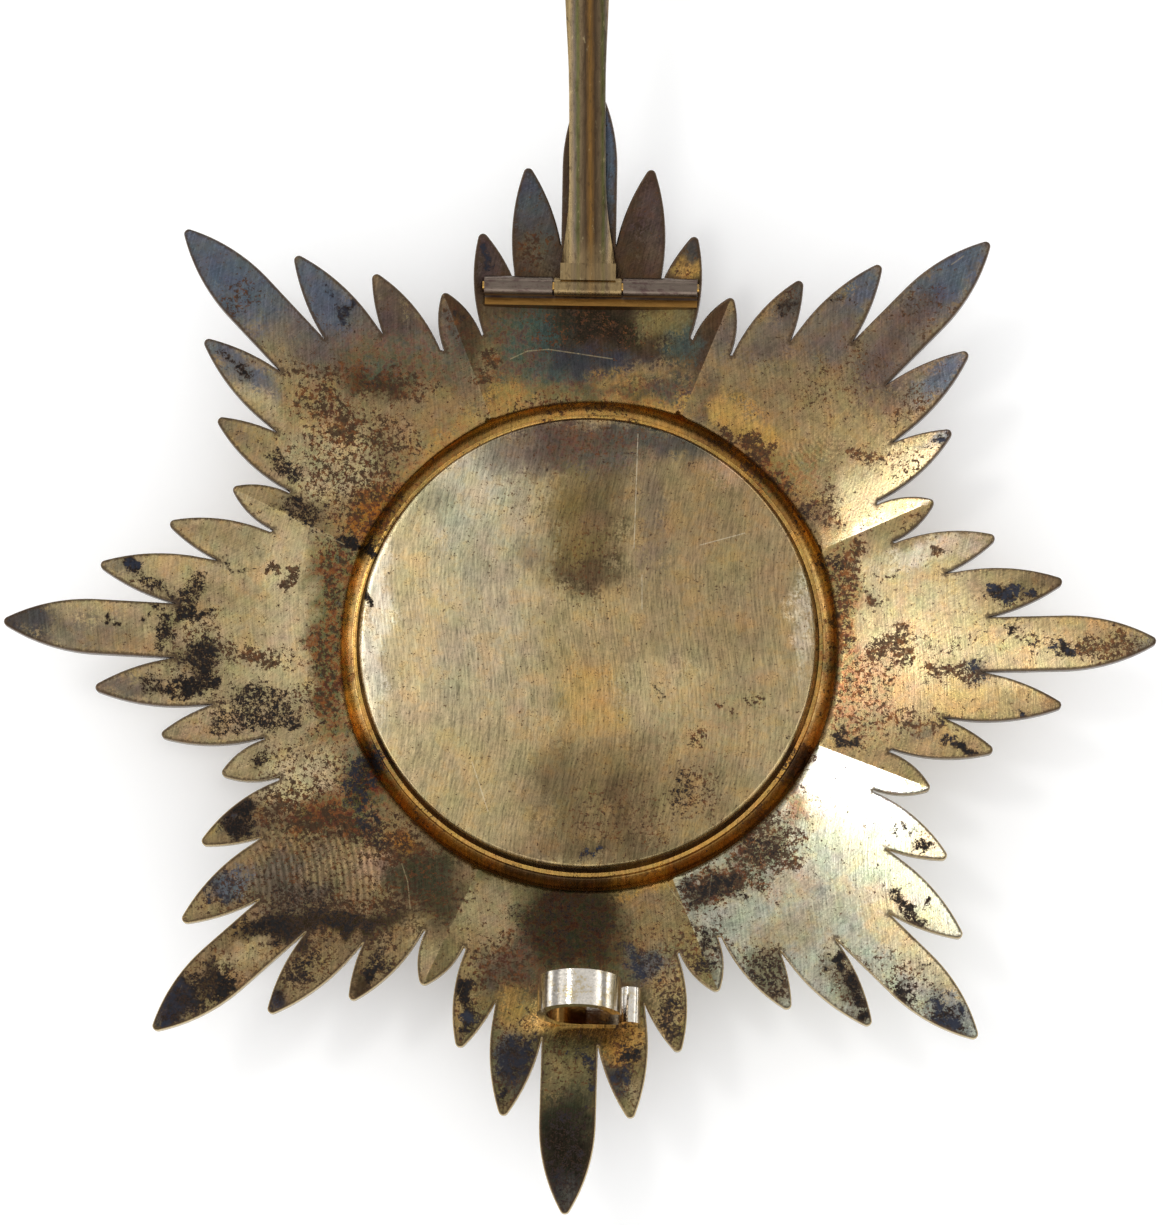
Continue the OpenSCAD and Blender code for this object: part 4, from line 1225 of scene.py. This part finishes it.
def finishSmall(node, finish):
    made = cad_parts[node]
    material, bench = newMaterial(node + "Finish")
    grain = bench.noise(finish["grain"], 4.0, 0.62, 5.0)
    blots = bench.noise((0.9,) * 3, 6.0, 0.66, 17.0)
    worn = (blots + (grain - 0.5) * 0.6).rise(0.5, 0.66)
    tone = bench.mix(worn, palette[finish["tone"]], palette[finish["worn"]])
    if "strip" in finish:
        y = bench.node("ShaderNodeSeparateXYZ", {}, {0: bench.place()}, 1)
        tone = bench.mix(y.rise(finish["stripTo"] + 0.1, finish["stripTo"]), tone, palette[finish["strip"]])
    # painted shade: the inside of the catch's ring is coloured darker copper
    if "inner" in finish:
        lean = math.radians(finish["lean"])
        off = bench.vector("SUBTRACT", bench.place(), finish["bend"])
        up = bench.vector("DOT_PRODUCT", off, (0, math.sin(lean), math.cos(lean)), output=1) - finish["ring"]
        side = bench.node("ShaderNodeSeparateXYZ", {}, {0: off})
        away = (side * side + up * up) ** 0.5
        tone = bench.mix(away.rise(finish["innerShadeTo"] + 0.02, finish["innerShadeTo"] - 0.02), tone, palette[finish["inner"]])
    tone = bench.scale(tone, 0.5 + grain)
    rough = finish["rough"] + (grain - 0.5) * 0.2 + (blots - 0.5) * 0.15
    bench.close(Base_Color=tone, Metallic=1.0, Roughness=rough, Normal=bench.bump(grain, 0.015, 0.6))
    made.data.materials.clear()
    made.data.materials.append(material)
    soften(made, finish["soft"])


for node, finish in smallFinish.items():
    finishSmall(node, finish)

# The pin's stripes from its middle line outward, as shares of the reach, and its grain. The stripes are partly painted
# reflection of its rounded faces: the pale khaki at its edges is a painted highlight and the dark umber stripe near the
# middle a dark reflection.
pinForm = {"middle": 0.3, "reach": 1.8, "grain": (7.0, 0.5, 2.0), "soft": 0.09, "rough": 0.28}
pinStripesAndSheen = ((0.0, "copper"), (0.2, "umber"), (0.42, "brown"), (0.54, "moss"), (0.68, "greyBrown"), (0.9, "khaki"))


def dressPin():
    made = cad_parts["pin"]
    material, bench = newMaterial("pinGilt")
    grain = bench.noise(pinForm["grain"], 4.0, 0.62, 8.0)
    blots = bench.noise((1.2, 0.5, 1.2), 6.0, 0.66, 2.0)
    place = bench.place()
    x, y = (bench.node("ShaderNodeSeparateXYZ", {}, {0: place}, k) for k in range(2))
    off = abs(x - pinForm["middle"] + (y - 27.5) * 0.022) / pinForm["reach"] + (blots - 0.5) * 0.2
    # painted reflection: stripes across the pin, pale at its edges and dark near its middle
    stops = [(share, (*palette[name], 1)) for share, name in pinStripesAndSheen]
    tone = bench.node("ShaderNodeValToRGB", {"stops": stops}, {0: off})
    tone = bench.mix(0.15, tone, palette["brown"])
    foot = 1 - (y + (blots - 0.5) * 3).rise(28.6, 31.5)
    tone = bench.mix(foot * 0.6, tone, palette["bronze"])
    spots = bench.noise((2.3, 1.1, 2.3), 5.0, 0.7, 31.0)
    tone = bench.mix(spots.rise(0.55, 0.64) * 0.5, tone, palette["umber"])
    tone = bench.mix(spots.rise(0.39, 0.31) * 0.3, tone, palette["champagne"])
    tone = bench.scale(tone, 0.5 + grain * 0.8)
    rough = pinForm["rough"] + (grain - 0.5) * 0.2
    bench.close(Base_Color=tone, Metallic=1.0, Roughness=rough, Normal=bench.bump(grain + blots, 0.03, 0.7))
    made.data.materials.clear()
    made.data.materials.append(material)
    soften(made, pinForm["soft"])


dressPin()
print("the small pieces are finished")


def makeFloor():
    half = studio["floorHalf"]
    mesh = bpy.data.meshes.new("floor")
    mesh.from_pydata([(-half, -half, 0), (half, -half, 0), (half, half, 0), (-half, half, 0)], [], [(0, 1, 2, 3)])
    floor = bpy.data.objects.new("floor", mesh)
    bpy.context.scene.collection.objects.link(floor)
    material, bench = newMaterial("floorPaper")
    glow = {"Emission_Color": (1, 1, 1, 1), "Emission_Strength": studio["floorGlow"]}
    bench.close(Base_Color=(*studio["floorColour"], 1), Roughness=0.9, **glow)
    mesh.materials.append(material)


makeFloor()
print("everything is in place")
